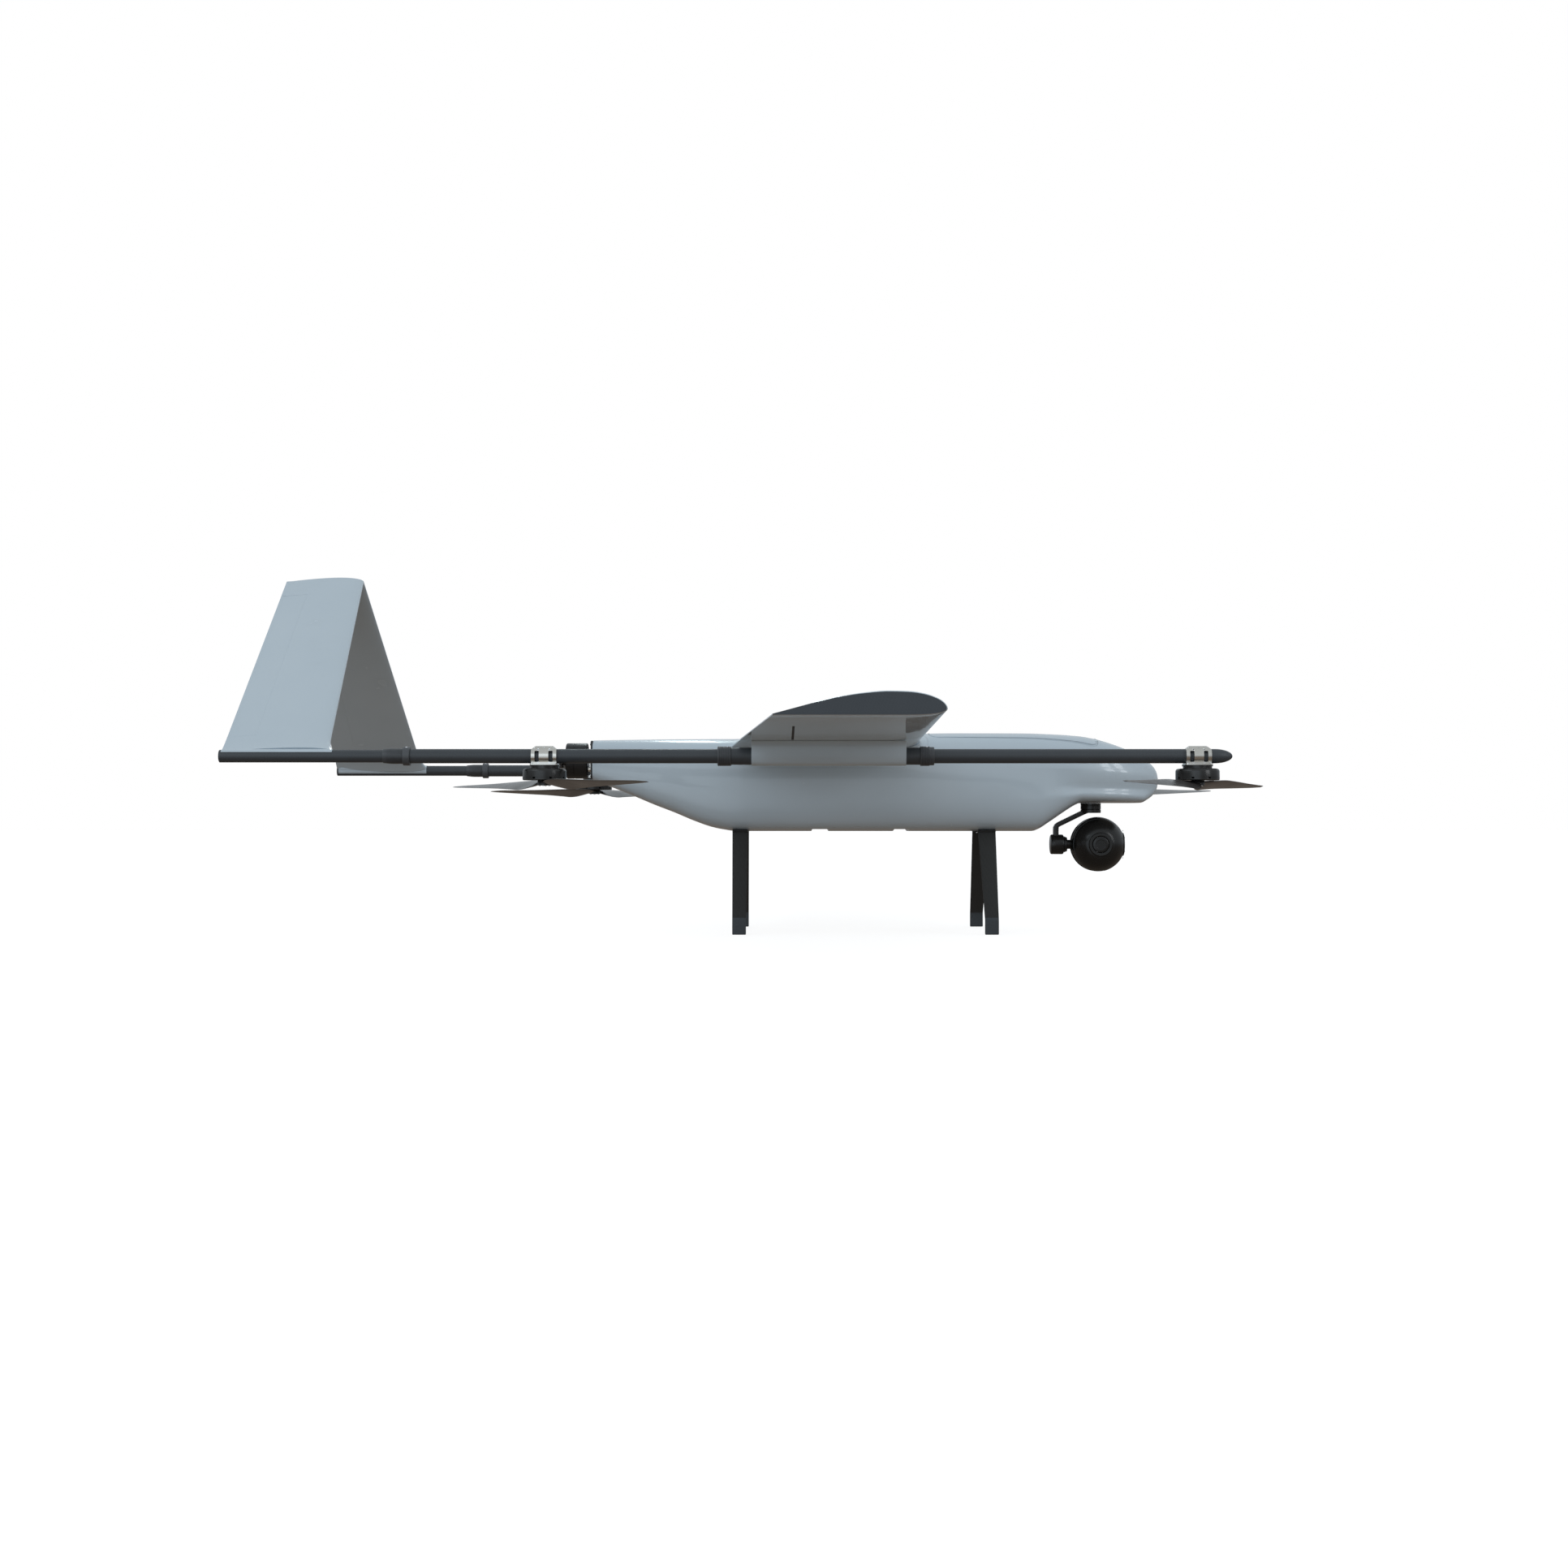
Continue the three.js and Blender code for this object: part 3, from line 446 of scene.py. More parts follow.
def baked(ob):
    """The object's mesh with its modifiers applied."""
    dg = bpy.context.evaluated_depsgraph_get()
    me = bpy.data.meshes.new_from_object(ob.evaluated_get(dg))
    old = ob.data
    ob.modifiers.clear()
    ob.data = me
    bpy.data.meshes.remove(old)
    return ob


def carve(ob, tools, op="DIFFERENCE"):
    objs = []
    for i, g in enumerate(tools):
        c = raw(f"tool_{i}", g, [PAINT])
        objs.append(c)
        m = ob.modifiers.new(f"b{i}", "BOOLEAN")
        m.operation = op
        m.object = c
        m.solver = "EXACT"
    baked(ob)
    for c in objs:
        me = c.data
        bpy.data.objects.remove(c)
        bpy.data.meshes.remove(me)
    return ob


def piece(ob, body, nodes=(), angle=35, bev=None, bseg=2):
    smooth(ob, angle)
    if bev:
        bevel(ob, bev, bseg)
    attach(ob, body)
    if isinstance(nodes, str):
        nodes = (nodes,)
    if nodes:
        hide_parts(*nodes)
    return ob


def make(name, geo, mats, body, nodes=(), angle=35, bev=None, bseg=2):
    return piece(raw(name, geo, mats), body, nodes, angle, bev, bseg)


# ------------------------------------------------------------------- fuselage
FUS = [
    (-374, 295, 374, 46, 335), (-340, 282.5, 374.6, 53, 333), (-291, 263, 375.3, 64, 329),
    (-253, 247, 375.7, 73, 326), (-214, 232, 376, 81, 322), (-176, 216, 376.2, 88, 318),
    (-138, 203, 376.4, 93.5, 315), (-118, 199, 376.4, 95.5, 314), (-98, 196.2, 376.5, 97, 313),
    (-78, 195.7, 377, 98, 312), (100, 195.7, 382, 99, 311), (262, 195.7, 387, 98.5, 310),
    (340, 195.7, 387.9, 98, 309), (440, 195.7, 387.8, 97, 308), (484, 195.7, 387.4, 96, 307),
    (496, 199.8, 387.0, 95.6, 307), (515, 212, 386.2, 94.5, 306), (554, 238.5, 384.2, 91.5, 305),
    (565, 245.2, 383.2, 90.3, 305), (578, 250.4, 382.2, 88.6, 304), (611, 250.9, 376.5, 83, 303), (630, 250.9, 371.2, 78.8, 302.5),
    (650, 250.9, 364.6, 73.5, 302), (669, 250.9, 357.4, 67.5, 301.5), (680, 250.9, 352.4, 63.5, 301), (699, 251.2, 342.5, 55, 300),
    (713, 258, 333.5, 46, 299), (725, 267.5, 323, 36, 298), (732, 279, 311.5, 24, 297), (735.4, 291, 300.5, 10, 296.3),
]
_fx = [s[0] for s in FUS]
F_ZB, F_ZT, F_W, F_ZC = (pchip(_fx, [s[k] for s in FUS]) for k in (1, 2, 3, 4))


def fus_point(x, a, off=0.0, floor=0.0):
    zb, zt, w, zc = F_ZB(x), F_ZT(x), F_W(x), F_ZC(x)
    c, s = math.cos(a), math.sin(a)
    n = 3.1 if s > 0 else 5.0
    y = (w + off) * math.copysign(abs(c) ** (2 / n), c)
    z = zc + (zt + off - zc if s > 0 else zc - (zb - off + floor)) * math.copysign(abs(s) ** (2 / n), s)
    ease = lambda a, b: max(0.0, min(1.0, (x - a) / (b - a)))
    if z < zc:
        # shallow hollow under the side crease, deepest near the nose
        t = (zc - z) / 44.0
        if t < 1:
            f = ease(420, 545) * ease(745, 700)
            y -= math.copysign(6.0 * f * (math.sin(math.pi * t) ** 2) * min(1, abs(y) / 30), y)
    else:
        # above the crease the side leans in
        t = (z - zc) / max(zt - zc, 1)
        f = ease(230, 480) * ease(738, 690)
        y -= math.copysign(5.0 * f * min(1, t * 2.2) * (1 - 0.5 * t) * min(1, abs(y) / 30), y)
    return x, y, z


def fus_half(x, z):
    """Half width of the fuselage side at a height."""
    zb, zt, w, zc = F_ZB(x), F_ZT(x), F_W(x), F_ZC(x)
    if z >= zc:
        t, n = (z - zc) / (zt - zc), 3.1
    else:
        t, n = (zc - z) / (zc - zb), 5.0
    return w * max(0.0, 1 - min(1, t) ** n) ** (1 / n)


def fus_solid(off, floor, x0, x1, seg=88):
    xs = [x0]
    while xs[-1] < x1 - 0.5:
        x = xs[-1]
        step = 11.0
        if x > 470 and x < 590:
            step = 4.0
        if x > 690:
            step = 2.6
        if x > 728:
            step = 1.2
        if -130 < x < -60:
            step = 6.0
        xs.append(min(x + step, x1))
    rings = [[fus_point(x, 2 * math.pi * (i + 0.5) / seg, off, floor) for i in range(seg)] for x in xs]
    return ring_loft(rings)


def prism_round(x0, x1, hy, z0, z1, r, n=8):
    return prism(rounded_poly([(x0, -hy), (x1, -hy), (x1, hy), (x0, hy)], r, n), "xy", z0, z1)


FOIL = [(0, 3.3, 3.3), (0.012, 5.5, 1.9), (0.03, 6.95, 1.3), (0.07, 8.75, 0.62), (0.13, 10.4, 0.2), (0.22, 11.5, 0),
        (0.34, 11.75, 0), (0.48, 10.8, 0), (0.62, 8.9, 0), (0.76, 6.15, 0), (0.88, 3.35, 0), (1, 0.55, 0)]
_ft = [math.sqrt(p[0]) for p in FOIL]
F_UP, F_LO = pchip(_ft, [p[1] for p in FOIL]), pchip(_ft, [p[2] for p in FOIL])


def foil_at(q, chord, upper, k=WING_T):
    return (F_UP if upper else F_LO)(math.sqrt(max(q, 0))) * (k / 0.1175) * chord / 100


def foil_ring(le, te, k=WING_T, z=WING_Z, n=34):
    c = le - te
    up = [(le - (i / n) ** 2 * c, z + foil_at((i / n) ** 2, c, True, k)) for i in range(n + 1)]
    lo = [(le - (i / n) ** 2 * c, z + foil_at((i / n) ** 2, c, False, k)) for i in range(n, 0, -1)]
    return up + lo


def w_le(y): return float(np.interp(y, *WLE)) if y > 90 else 257 + (90 - y) * 0.03
def w_te(y): return float(np.interp(y, *WTE)) if y > 90 else -106 - (90 - y) * 0.065


CENTRE = foil_ring(262, -112)
hatch_tool = prism_round(282, 612, 70, 332, 430, 20)
hatch_in = prism_round(282.6, 611.4, 69.4, 332, 430, 19.4)
centre_tool = prism([(x + (0.5 if x > 100 else -0.5), z + (0.5 if z > 370 else -0.5)) for x, z in CENTRE], "xz", -125, 125)
fus = raw("fuselage_skin", fus_solid(0, 0, -374, 735.4), [PAINT])
fus_in = fus_solid(-3, 4.2, -371, 722, 56)
notch = [prism(rounded_poly([(a - 3.2, 188), (b + 3.2, 188), (b - 0.5, 199.6), (a + 0.5, 199.6)], 2.2, 3), "xz", -130, 130)
         for a, b in ((54, 87), (213, 243))]
carve(fus, [fus_in, centre_tool, hatch_tool, *notch])
piece(fus, "airframe", "fuselage_shell", 32)

hatch = raw("hatch_skin", fus_solid(0, 0, 230, 690), [PAINT])
carve(hatch, [fus_solid(-3, 0, 200, 700, 88)])
carve(hatch, [hatch_in], "INTERSECT")
piece(hatch, "hatch", "hatch_cover", 32)

# fine raised bead round the hatch edge
bead = Geo()
path = rounded_poly([(284.2, -67.8), (609.8, -67.8), (609.8, 67.8), (284.2, 67.8)], 18, 8)
dense = []
for a, b in zip(path, path[1:] + path[:1]):
    m = max(1, int(math.hypot(b[0] - a[0], b[1] - a[1]) / 8))
    dense += [(a[0] + (b[0] - a[0]) * k / m, a[1] + (b[1] - a[1]) * k / m) for k in range(m)]


def crown(x, y):
    zt, w, zc = F_ZT(x), F_W(x), F_ZC(x)
    return zc + (zt - zc) * max(0.0, 1 - (abs(y) / w) ** 3.1) ** (1 / 3.1)


rows = []
cx0, cy0 = 447.0, 0.0
for x, y in dense:
    row = []
    for t in range(8):
        a = 2 * math.pi * t / 8
        d = 0.9 * math.cos(a)
        L = math.hypot(x - cx0, y - cy0)
        nx = 1.0 if abs(abs(x - cx0) - 162.8) < 0.1 and abs(y) < 50 else 0.0
        ux, uy = (math.copysign(1, x - cx0), 0.0) if nx else (0.0, math.copysign(1, y))
        row.append((x + ux * d, y + uy * d, crown(x + ux * d, y + uy * d) + 0.9 * math.sin(a) * 0.75))
    rows.append(row)
rows.append(rows[0])
bead.join(ring_loft(rows, caps=(False, False)))
make("hatch_bead", bead, [PAINT], "hatch", angle=70)

# lip that the hatch rests on and six magnets
lip = Geo()
outer = rounded_poly([(272, -62), (622, -62), (622, 62), (272, 62)], 16, 6)
inner = rounded_poly([(288, -54), (604, -54), (604, 54), (288, 54)], 12, 6)


def deck(x, y):
    zt, w, zc = F_ZT(x), F_W(x), F_ZC(x)
    return zc + (zt - 3 - zc) * max(0.0, 1 - (abs(y) / max(w - 3, 1)) ** 3.1) ** (1 / 3.1)


ringA = [(x, y, deck(x, y) - 0.6) for x, y in outer]
ringB = [(x, y, deck(x, y) - 3.2) for x, y in outer]
ringC = [(x, y, deck(x, y) - 3.2) for x, y in inner]
ringD = [(x, y, deck(x, y) - 0.6) for x, y in inner]
lip.join(ring_loft([ringA, ringB, ringC, ringD, ringA], caps=(False, False)))
make("hatch_lip", lip, [PAINT_IN], "airframe")
mag = Geo()
for x, y in ((300, 58), (592, 58), (300, -58), (592, -58), (446, 58), (446, -58)):
    mag.join(lathe([(0, 0), (4, 0), (4, 1.3), (0, 1.3)], 24, at=(x, y, deck(x, y) - 1.7)))
make("hatch_magnets", mag, [STEEL], "airframe", bev=0.3)

# battery with straps, avionics box with ribs
bz = 204.0
bat = Geo().join(prism(rounded_poly([(-38.5, bz), (38.5, bz), (38.5, bz + 71.5), (-38.5, bz + 71.5)], 6, 4), "yz", 300.5, 469.5))
strap = Geo()
for x in (338, 432):
    o = rounded_poly([(-39, bz + 0.3), (39, bz + 0.3), (39, bz + 72), (-39, bz + 72)], 6.4, 4)
    i = rounded_poly([(-38.4, bz + 0.4), (38.4, bz + 0.4), (38.4, bz + 71.4), (-38.4, bz + 71.4)], 5.8, 4)
    strap.join(ring_loft([[(x - 10, *p) for p in i], [(x - 10, *p) for p in o], [(x + 10, *p) for p in o], [(x + 10, *p) for p in i], [(x - 10, *p) for p in i]], caps=(False, False)))
    strap.join(block(x - 8, x + 8, -9, 9, bz + 71.8, bz + 73.4))
make("battery_body", bat, [BATTERY], "airframe", "battery_pack", bev=1.2)
make("battery_straps", strap, [STRAP], "airframe", bev=0.3)
av = Geo().join(prism(rounded_poly([(130, -36), (220, -36), (220, 36), (130, 36)], 5, 4), "xy", 204.0, 237.5))
for i in range(7):
    av.join(block(140 + i * 10.5, 145 + i * 10.5, -28, 28, 237.2, 238.0))
make("avionics_case", av, [BOXM], "airframe", "avionics_box", bev=0.8)

# ---------------------------------------------------------------------- wings
# centre section with its fairing flare where it meets the fuselage side
centre_rings = []
for y in (-96.0, -60, 0, 60, 96.0):
    centre_rings.append([(x, y, z) for x, z in CENTRE])
cr = ring_loft(centre_rings, cap_mats=(0, 0))
make("wing_centre_skin", cr, [PAINT], "airframe", "wing_centre", 40, 0.4)


def fillet(sgn, R=17.0, n=9):
    """Concave fillet between the wing underside and the fuselage side, thinning to nothing at the tail end."""
    pts = foil_ring(262, -112, n=60)
    k0 = 9          # start just over the leading edge
    path = [pts[k] for k in range(k0, -1, -1)] + pts[:60:-1]
    path = path[: -1]
    arr = np.array(path)
    tang = np.gradient(arr, axis=0)
    tang /= np.linalg.norm(tang, axis=1)[:, None] + 1e-9
    nrm = np.stack([tang[:, 1], -tang[:, 0]], 1)
    mid = arr.mean(0)
    rows = []
    L = len(arr)
    for i in range(L):
        p, q = arr[i], nrm[i]
        if (p - np.array([90.0, 375.0])) @ q < 0:
            q = -q
        r = R * min(1.0, 0.25 + i / 9.0) * min(1.0, 0.12 + (L - 1 - i) / 14.0)
        row = []
        for j in range(n + 1):
            a = math.pi / 2 * j / n
            dn = r * (1 - math.cos(a))
            x, z = p[0] + q[0] * dn, p[1] + q[1] * dn
            y = fus_half(x, z) - 0.4 + r * (1 - math.sin(a))
            row.append((x, sgn * y, z))
        rows.append(row)
    return ring_loft(rows, caps=(False, False), wrap=False)


for nm, s in SIDES:
    ob = raw(f"root_fillet_{nm}", fillet(s), [PAINT])
    so = ob.modifiers.new("thick", "SOLIDIFY")
    so.thickness = 0.0008
    so.offset = 0.0
    piece(ob, "airframe", angle=60)


def wing_ring(y, le=None, te=None, k=WING_T, z=WING_Z):
    return [(x, y, zz) for x, zz in foil_ring(w_le(y) if le is None else le, w_te(y) if te is None else te, k, z)]


def half_h(y, x):
    c = w_le(y) - w_te(y)
    return foil_at((w_le(y) - x) / c, c, True) / 2


r0, r1 = half_h(AIL_Y0, AIL_X), half_h(AIL_Y1, AIL_X)
def ail_r(y): return r0 + (r1 - r0) * (y - AIL_Y0) / (AIL_Y1 - AIL_Y0)


def cut_foil(y, cx, cz, rad, n=30, m=14):
    """Wing section ahead of the hinge: upper skin, lower skin and the hollow cove behind them."""
    le, te = w_le(y), w_te(y)
    c = le - te

    def lip(upper):
        lo_t, hi_t = 0.2, math.sqrt((le - cx) / c)
        for _ in range(40):
            t = (lo_t + hi_t) / 2
            x, z = le - t * t * c, WING_Z + foil_at(t * t, c, upper)
            if math.hypot(x - cx, z - cz) > rad:
                lo_t = t
            else:
                hi_t = t
        return lo_t
    tu, tl = lip(True), lip(False)
    up = [(le - (tu * i / n) ** 2 * c, WING_Z + foil_at((tu * i / n) ** 2, c, True)) for i in range(n + 1)]
    lo = [(le - (tl * i / n) ** 2 * c, WING_Z + foil_at((tl * i / n) ** 2, c, False)) for i in range(n, 0, -1)]
    a0 = math.atan2(up[-1][1] - cz, up[-1][0] - cx)
    a1 = math.atan2(lo[0][1] - cz, lo[0][0] - cx)
    arc = [(cx + rad * math.cos(a0 + (a1 - a0) * j / m), cz + rad * math.sin(a0 + (a1 - a0) * j / m)) for j in range(1, m)]
    mats = [0] * n + [1] * m + [0] * n
    return [(x, y, z) for x, z in up + arc + lo], mats


def wing_geo():
    g = Geo()
    g.join(ring_loft([wing_ring(y) for y in (ROOT_Y, 180, 300, 430, AIL_Y0)], caps=(True, True), cap_mats=(0, 1)))
    rings = []
    for y in (AIL_Y0, 640, 730, 820, 910, 1000, AIL_Y1):
        r, mats = cut_foil(y, AIL_X, WING_Z + ail_r(y), ail_r(y) + 0.5)
        rings.append(r)
    g.join(ring_loft(rings, mats=mats, caps=(False, False)))
    n = len(wing_ring(AIL_Y1))
    tip = [wing_ring(y) for y in (AIL_Y1, 1150, 1240, 1330, TIP_Y - 7)]
    g.join(ring_loft(tip, caps=(True, False), cap_mats=(1, 0)))
    # rounded edge into the dark end face
    ends = []
    for t in (0.0, 0.35, 0.7, 1.0):
        y = TIP_Y - 7 + 7 * math.sin(t * math.pi / 2)
        d = 1.6 * (1 - math.cos(t * math.pi / 2))
        c = w_le(y) - w_te(y)
        ends.append(wing_ring(y, w_le(y) - d, w_te(y) + d * 0.5, WING_T * (1 - 0.035 * d), WING_Z + d * 0.45))
    g.join(ring_loft(ends, caps=(False, True), cap_mats=(2, 2), mats=[0] * n))
    return g


def aileron_geo():
    rings, n, m = [], 20, 16
    cx = AIL_X - 0.6
    for y in np.linspace(AIL_Y0 + 0.9, AIL_Y1 - 0.9, 7):
        le, te = w_le(y), w_te(y)
        c = le - te
        r = ail_r(y)
        cz = WING_Z + r
        q0 = (le - cx) / c
        up = [(le - (q0 + (1 - q0) * i / n) * c, WING_Z + foil_at(q0 + (1 - q0) * i / n, c, True)) for i in range(n + 1)]
        lo = [(le - (q0 + (1 - q0) * i / n) * c, WING_Z) for i in range(n, -1, -1)]
        rr = r - 0.25
        arc = [(cx + rr * math.cos(a), cz + rr * math.sin(a)) for a in [-math.pi / 2 + math.pi * j / m for j in range(1, m)]]
        rings.append([(x, float(y), z) for x, z in up + lo + arc])
    return ring_loft(rings, mats=[0] * n + [0] + [0] * n + [1] * m)


for nm, s in SIDES:
    make(f"wing_skin_{nm}", wing_geo().side(s), [PAINT, SEAL, TIP], "airframe", f"wing_{nm}", 38)
    make(f"aileron_skin_{nm}", aileron_geo().side(s), [PAINT, SEAL], f"aileron_{nm}", f"aileron_{nm}", 38, 0.3)

# spar tube ends don't show; the CAD node keeps its place and gets the tube finish
for nm in ("wing_spar",):
    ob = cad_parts[nm]
    ob.data.materials.clear()
    ob.data.materials.append(TUBE)

# ----------------------------------------------------------------------- pods
POD = [(29, 353.0), (26.4, 351.2), (24.6, 348.8), (23.3, 346), (22.6, 342.5), (22.3, 336), (21.9, 330), (21.2, 324.5), (19.9, 319.6),
       (17.7, 315.6), (14.6, 312.9), (10.6, 311.3), (5.4, 310.6), (0, 310.4)]
fp = pchip(list(range(len(POD))), [p[0] for p in POD]), pchip(list(range(len(POD))), [p[1] for p in POD])
half = [(fp[0](t), fp[1](t)) for t in np.linspace(0, len(POD) - 1, 40)]
ring = half + [(-y, z) for y, z in half[-2::-1]]
pod = ring_loft([[(x, y, z) for y, z in ring] for x in (-56.5, 0, 80, 150, 212)])
for nm, s in SIDES:
    ob = raw(f"pod_skin_{nm}", pod.move(0, BOOM_Y, 0).side(s), [PAINT])
    carve(ob, [lathe([(0, -80), (15.3, -80), (15.3, 240), (0, 240)], 64, "x", (0, s * BOOM_Y, BOOM_Z))])
    piece(ob, "airframe", f"pod_{nm}", 30, 0.5)

# ---------------------------------------------------------------------- booms
nose = [(12.5 * math.cos(t), 750 + 31 * math.sin(t)) for t in np.linspace(0, math.pi / 2, 12)]
nose[-1] = (0.0, 781.0)


def ribbed(r_in, r_out, x0, x1, n, depth, ease=1.2):
    """Collar profile with fine grip ridges round it."""
    prof = [(r_in, x0), (r_out - ease, x0), (r_out, x0 + ease)]
    w = (x1 - x0 - 2 * ease) / (2 * n + 1)
    for i in range(n):
        a = x0 + ease + w * (2 * i + 1)
        prof += [(r_out, a), (r_out - depth, a + w * 0.2), (r_out - depth, a + w * 0.8), (r_out, a + w)]
    return prof + [(r_out, x1 - ease), (r_out - ease, x1), (r_in, x1)]


for nm, s in SIDES:
    at = (0, s * BOOM_Y, BOOM_Z)
    make(f"socket_tube_{nm}", lathe([(12.8, -104), (14.6, -104), (15, -103.6), (15, 248.6), (14.6, 249), (12.8, 249)], 72, "x", at), [TUBE], "airframe", f"boom_socket_{nm}")
    make(f"front_tube_{nm}", lathe([(0, 747), (11.3, 747), (11.3, 160), (12.5, 160), *nose], 72, "x", at), [TUBE], "airframe", f"boom_front_{nm}", 50)
    make(f"rear_tube_{nm}", lathe([(11.3, -656), (12.5, -656), (12.5, -30), (11.3, -30)], 72, "x", at), [TUBE], "airframe", f"boom_rear_{nm}")
    make(f"tail_tube_{nm}", lathe([(9.5, -983), (10.7, -983), (11, -982.7), (11, -600), (9.5, -600)], 72, "x", at), [TUBE], "airframe", f"boom_tail_{nm}")
    plug = lathe([(0, -981.6), (9.3, -981.6), (9.3, -970), (0, -970)], 48, "x", at)
    make(f"tail_plug_{nm}", plug, [COLLAR], "airframe", bev=0.6)
    fc = ribbed(15.3, 17.2, 236.8, 254.0, 5, 0.5)[:-1] + [(16.2, 254.0), (16, 254.4), (16, 260.6), (15.4, 261.2), (12.8, 261.2), (12.8, 249.4), (15.3, 249.4)]
    make(f"front_collar_{nm}", lathe(fc, 72, "x", at), [COLLAR], "airframe", f"collar_front_{nm}", 25)
    rc = [(12.8, -115.7)] + ribbed(12.8, 17.2, -115.7, -92.0, 6, 0.5)[1:-1] + [(15.3, -92), (15.3, -104.4), (12.8, -104.4)]
    make(f"rear_collar_{nm}", lathe(rc, 72, "x", at), [COLLAR], "airframe", f"collar_rear_{nm}", 25)
    ta = [(11.3, -698), (11.8, -698), (12.1, -697.4), (13.4, -684), (13.4, -663.6), (15.6, -662.8), (16.4, -662), (16.4, -651.4), (15.6, -650.6), (12.8, -650.6), (12.8, -656.4), (11.3, -656.4)]
    make(f"tail_sleeve_{nm}", lathe(ta, 72, "x", at), [COLLAR], "airframe", f"tail_adapter_{nm}", 25)
    # clamp screws of the collars
    sc = Geo()
    for x, r in ((248, 17.2), (-98, 17.2), (-656.5, 16.4)):
        for yy in (-5.5, 5.5):
            sc.join(lathe([(0, 0), (2.3, 0), (2.3, 1.1), (1.2, 1.1), (1.1, 0.5), (0, 0.5)], 20, "z", (x, s * BOOM_Y + yy, BOOM_Z + math.sqrt(r * r - yy * yy) - 0.6)))
    make(f"collar_screws_{nm}", sc, [STEEL], "airframe")

# --------------------------------------------------------------- lift motors


def screw(x, y, z, axis="y", r=2.1, h=1.3, sgn=-1):
    g = lathe([(0, 0), (r, 0), (r, h * 0.75), (r * 0.8, h), (r * 0.55, h), (r * 0.45, h * 0.45), (0, h * 0.45)], 20)
    if axis == "y":
        g = g.xf(lambda a, b, c: (a, sgn * c, b))
    elif axis == "z-":
        g = g.xf(lambda a, b, c: (a, b, -c))
    return g.move(x, y, z)


def clamp_obj(name, cx, cy):
    out = rounded_poly([(-22, 310), (-22, 338.5), (-14.6, 345), (14.6, 345), (22, 338.5), (22, 310)], 2.0, 4)
    ob = raw(name, prism([(x + cx, z) for x, z in out], "xz", cy - 19, cy + 19), [ALU])
    jaw = [(17.8 * math.cos(t), BOOM_Z + 17.8 * math.sin(t)) for t in np.linspace(-0.62, math.pi + 0.62, 64)]
    jaw += [(-14.5, 313.4), (14.5, 313.4)]
    carve(ob, [prism([(y + cy, z) for y, z in jaw], "yz", cx - 30, cx + 30)], "INTERSECT")
    base = prism([(x + cx, y + cy) for x, y in rounded_poly([(-24, -20), (24, -20), (24, 20), (-24, 20)], 4, 5)], "xy", 311.7, 314.0)
    carve(ob, [base], "UNION")
    tools = [lathe([(0, -50), (12.8, -50), (12.8, 50), (0, 50)], 72, "x", (cx, cy, BOOM_Z))]
    for d in (-12, 12):
        slot = [(x + cx + d, z) for x, z in rounded_poly([(-3.7, 317), (3.7, 317), (3.7, 336), (-3.7, 336)], 1.6, 4)]
        tools.append(prism(slot, "xz", cy - 30, cy + 30))
    return carve(ob, tools)


def bell_geo(seg=96):
    prof = [(0, 285.3), (10, 285.3), (20, 285.3), (30, 285.3), (36.9, 285.3), (38, 286.2), (38, 287.5), (38, 290.5), (38, 300.6),
            (37.7, 302.2), (36.8, 303.7), (35.4, 304.8), (33.6, 305.4), (31, 305.4), (23.4, 305.4), (23.0, 305.0), (23.0, 302.6), (33.6, 302.6),
            (35.2, 301), (35.2, 290.5), (35.2, 287.5), (34.8, 286.6), (0, 286.6)]
    win = {(22.5 + 45 * k) for k in range(8)}

    def is_win(i):
        a = (i + 0.5) * 360 / seg
        return any(abs((a - w + 180) % 360 - 180) < 4.1 for w in win)
    # turned so that windows line up front to back
    skip = lambda k, i: (k == 6 or k == 19) and is_win(i)
    g = lathe(prof, seg, skip=skip, closed=False)
    rows = g.rows
    faces = []
    for i in range(seg):
        j = (i + 1) % seg
        if is_win(i):
            faces.append((rows[6][i], rows[6][j], rows[20][j], rows[20][i]))
            faces.append((rows[7][i], rows[7][j], rows[19][j], rows[19][i]))
            if not is_win((i - 1) % seg):
                faces.append((rows[6][i], rows[7][i], rows[19][i], rows[20][i]))
            if not is_win(j):
                faces.append((rows[6][j], rows[7][j], rows[19][j], rows[20][j]))
    g2 = Geo()
    g2.v, g2.f, g2.m = g.v, g.f + faces, g.m + [0] * len(faces)
    return g2


def base_geo():
    g = lathe([(0, 291.6), (21.0, 291.6), (21.0, 300.5), (21.6, 301.2), (21.6, 305.8), (25.0, 305.8), (25.2, 306.0), (25.2, 309.5), (26.9, 309.7),
               (26.9, 311.1), (26.6, 311.4), (0, 311.4)], 72, mats=[1, 1, 1, 0, 0, 0, 0, 0, 0, 0, 0], closed=False)
    return g


LIFT = [(0.5, 18, 10, 5, 280.2, 0), (14, 24, 14, 5.5, 279.6, 0), (25, 36, 17.5, 6, 278.2, 0), (38, 45, 18.5, 5.6, 277.2, 0),
        (55, 50, 18.8, 5.3, 276.8, 1), (76, 51, 17.5, 5, 277.4, 2), (130, 46, 14.4, 4.2, 277.8, 2), (190, 38, 12.4, 3.2, 277.8, 1),
        (250, 29, 10.5, 2.5, 278, 0), (295, 20, 9, 1.9, 278.4, -1.5), (312, 7, 8, 1.2, 278.6, -5)]
PUSH = [(0.5, 15, 26, 9, 0, 0), (16, 18, 28, 8, 0, 0), (34, 27, 27, 6, 0, 0), (60, 31, 23, 4.8, 0, 0), (105, 28, 17, 3.7, 0, 0),
        (155, 21, 12.8, 2.6, 0, -0.5), (180, 14, 11.5, 2, 0, -1.5), (190, 6, 11, 1.2, 0, -3)]


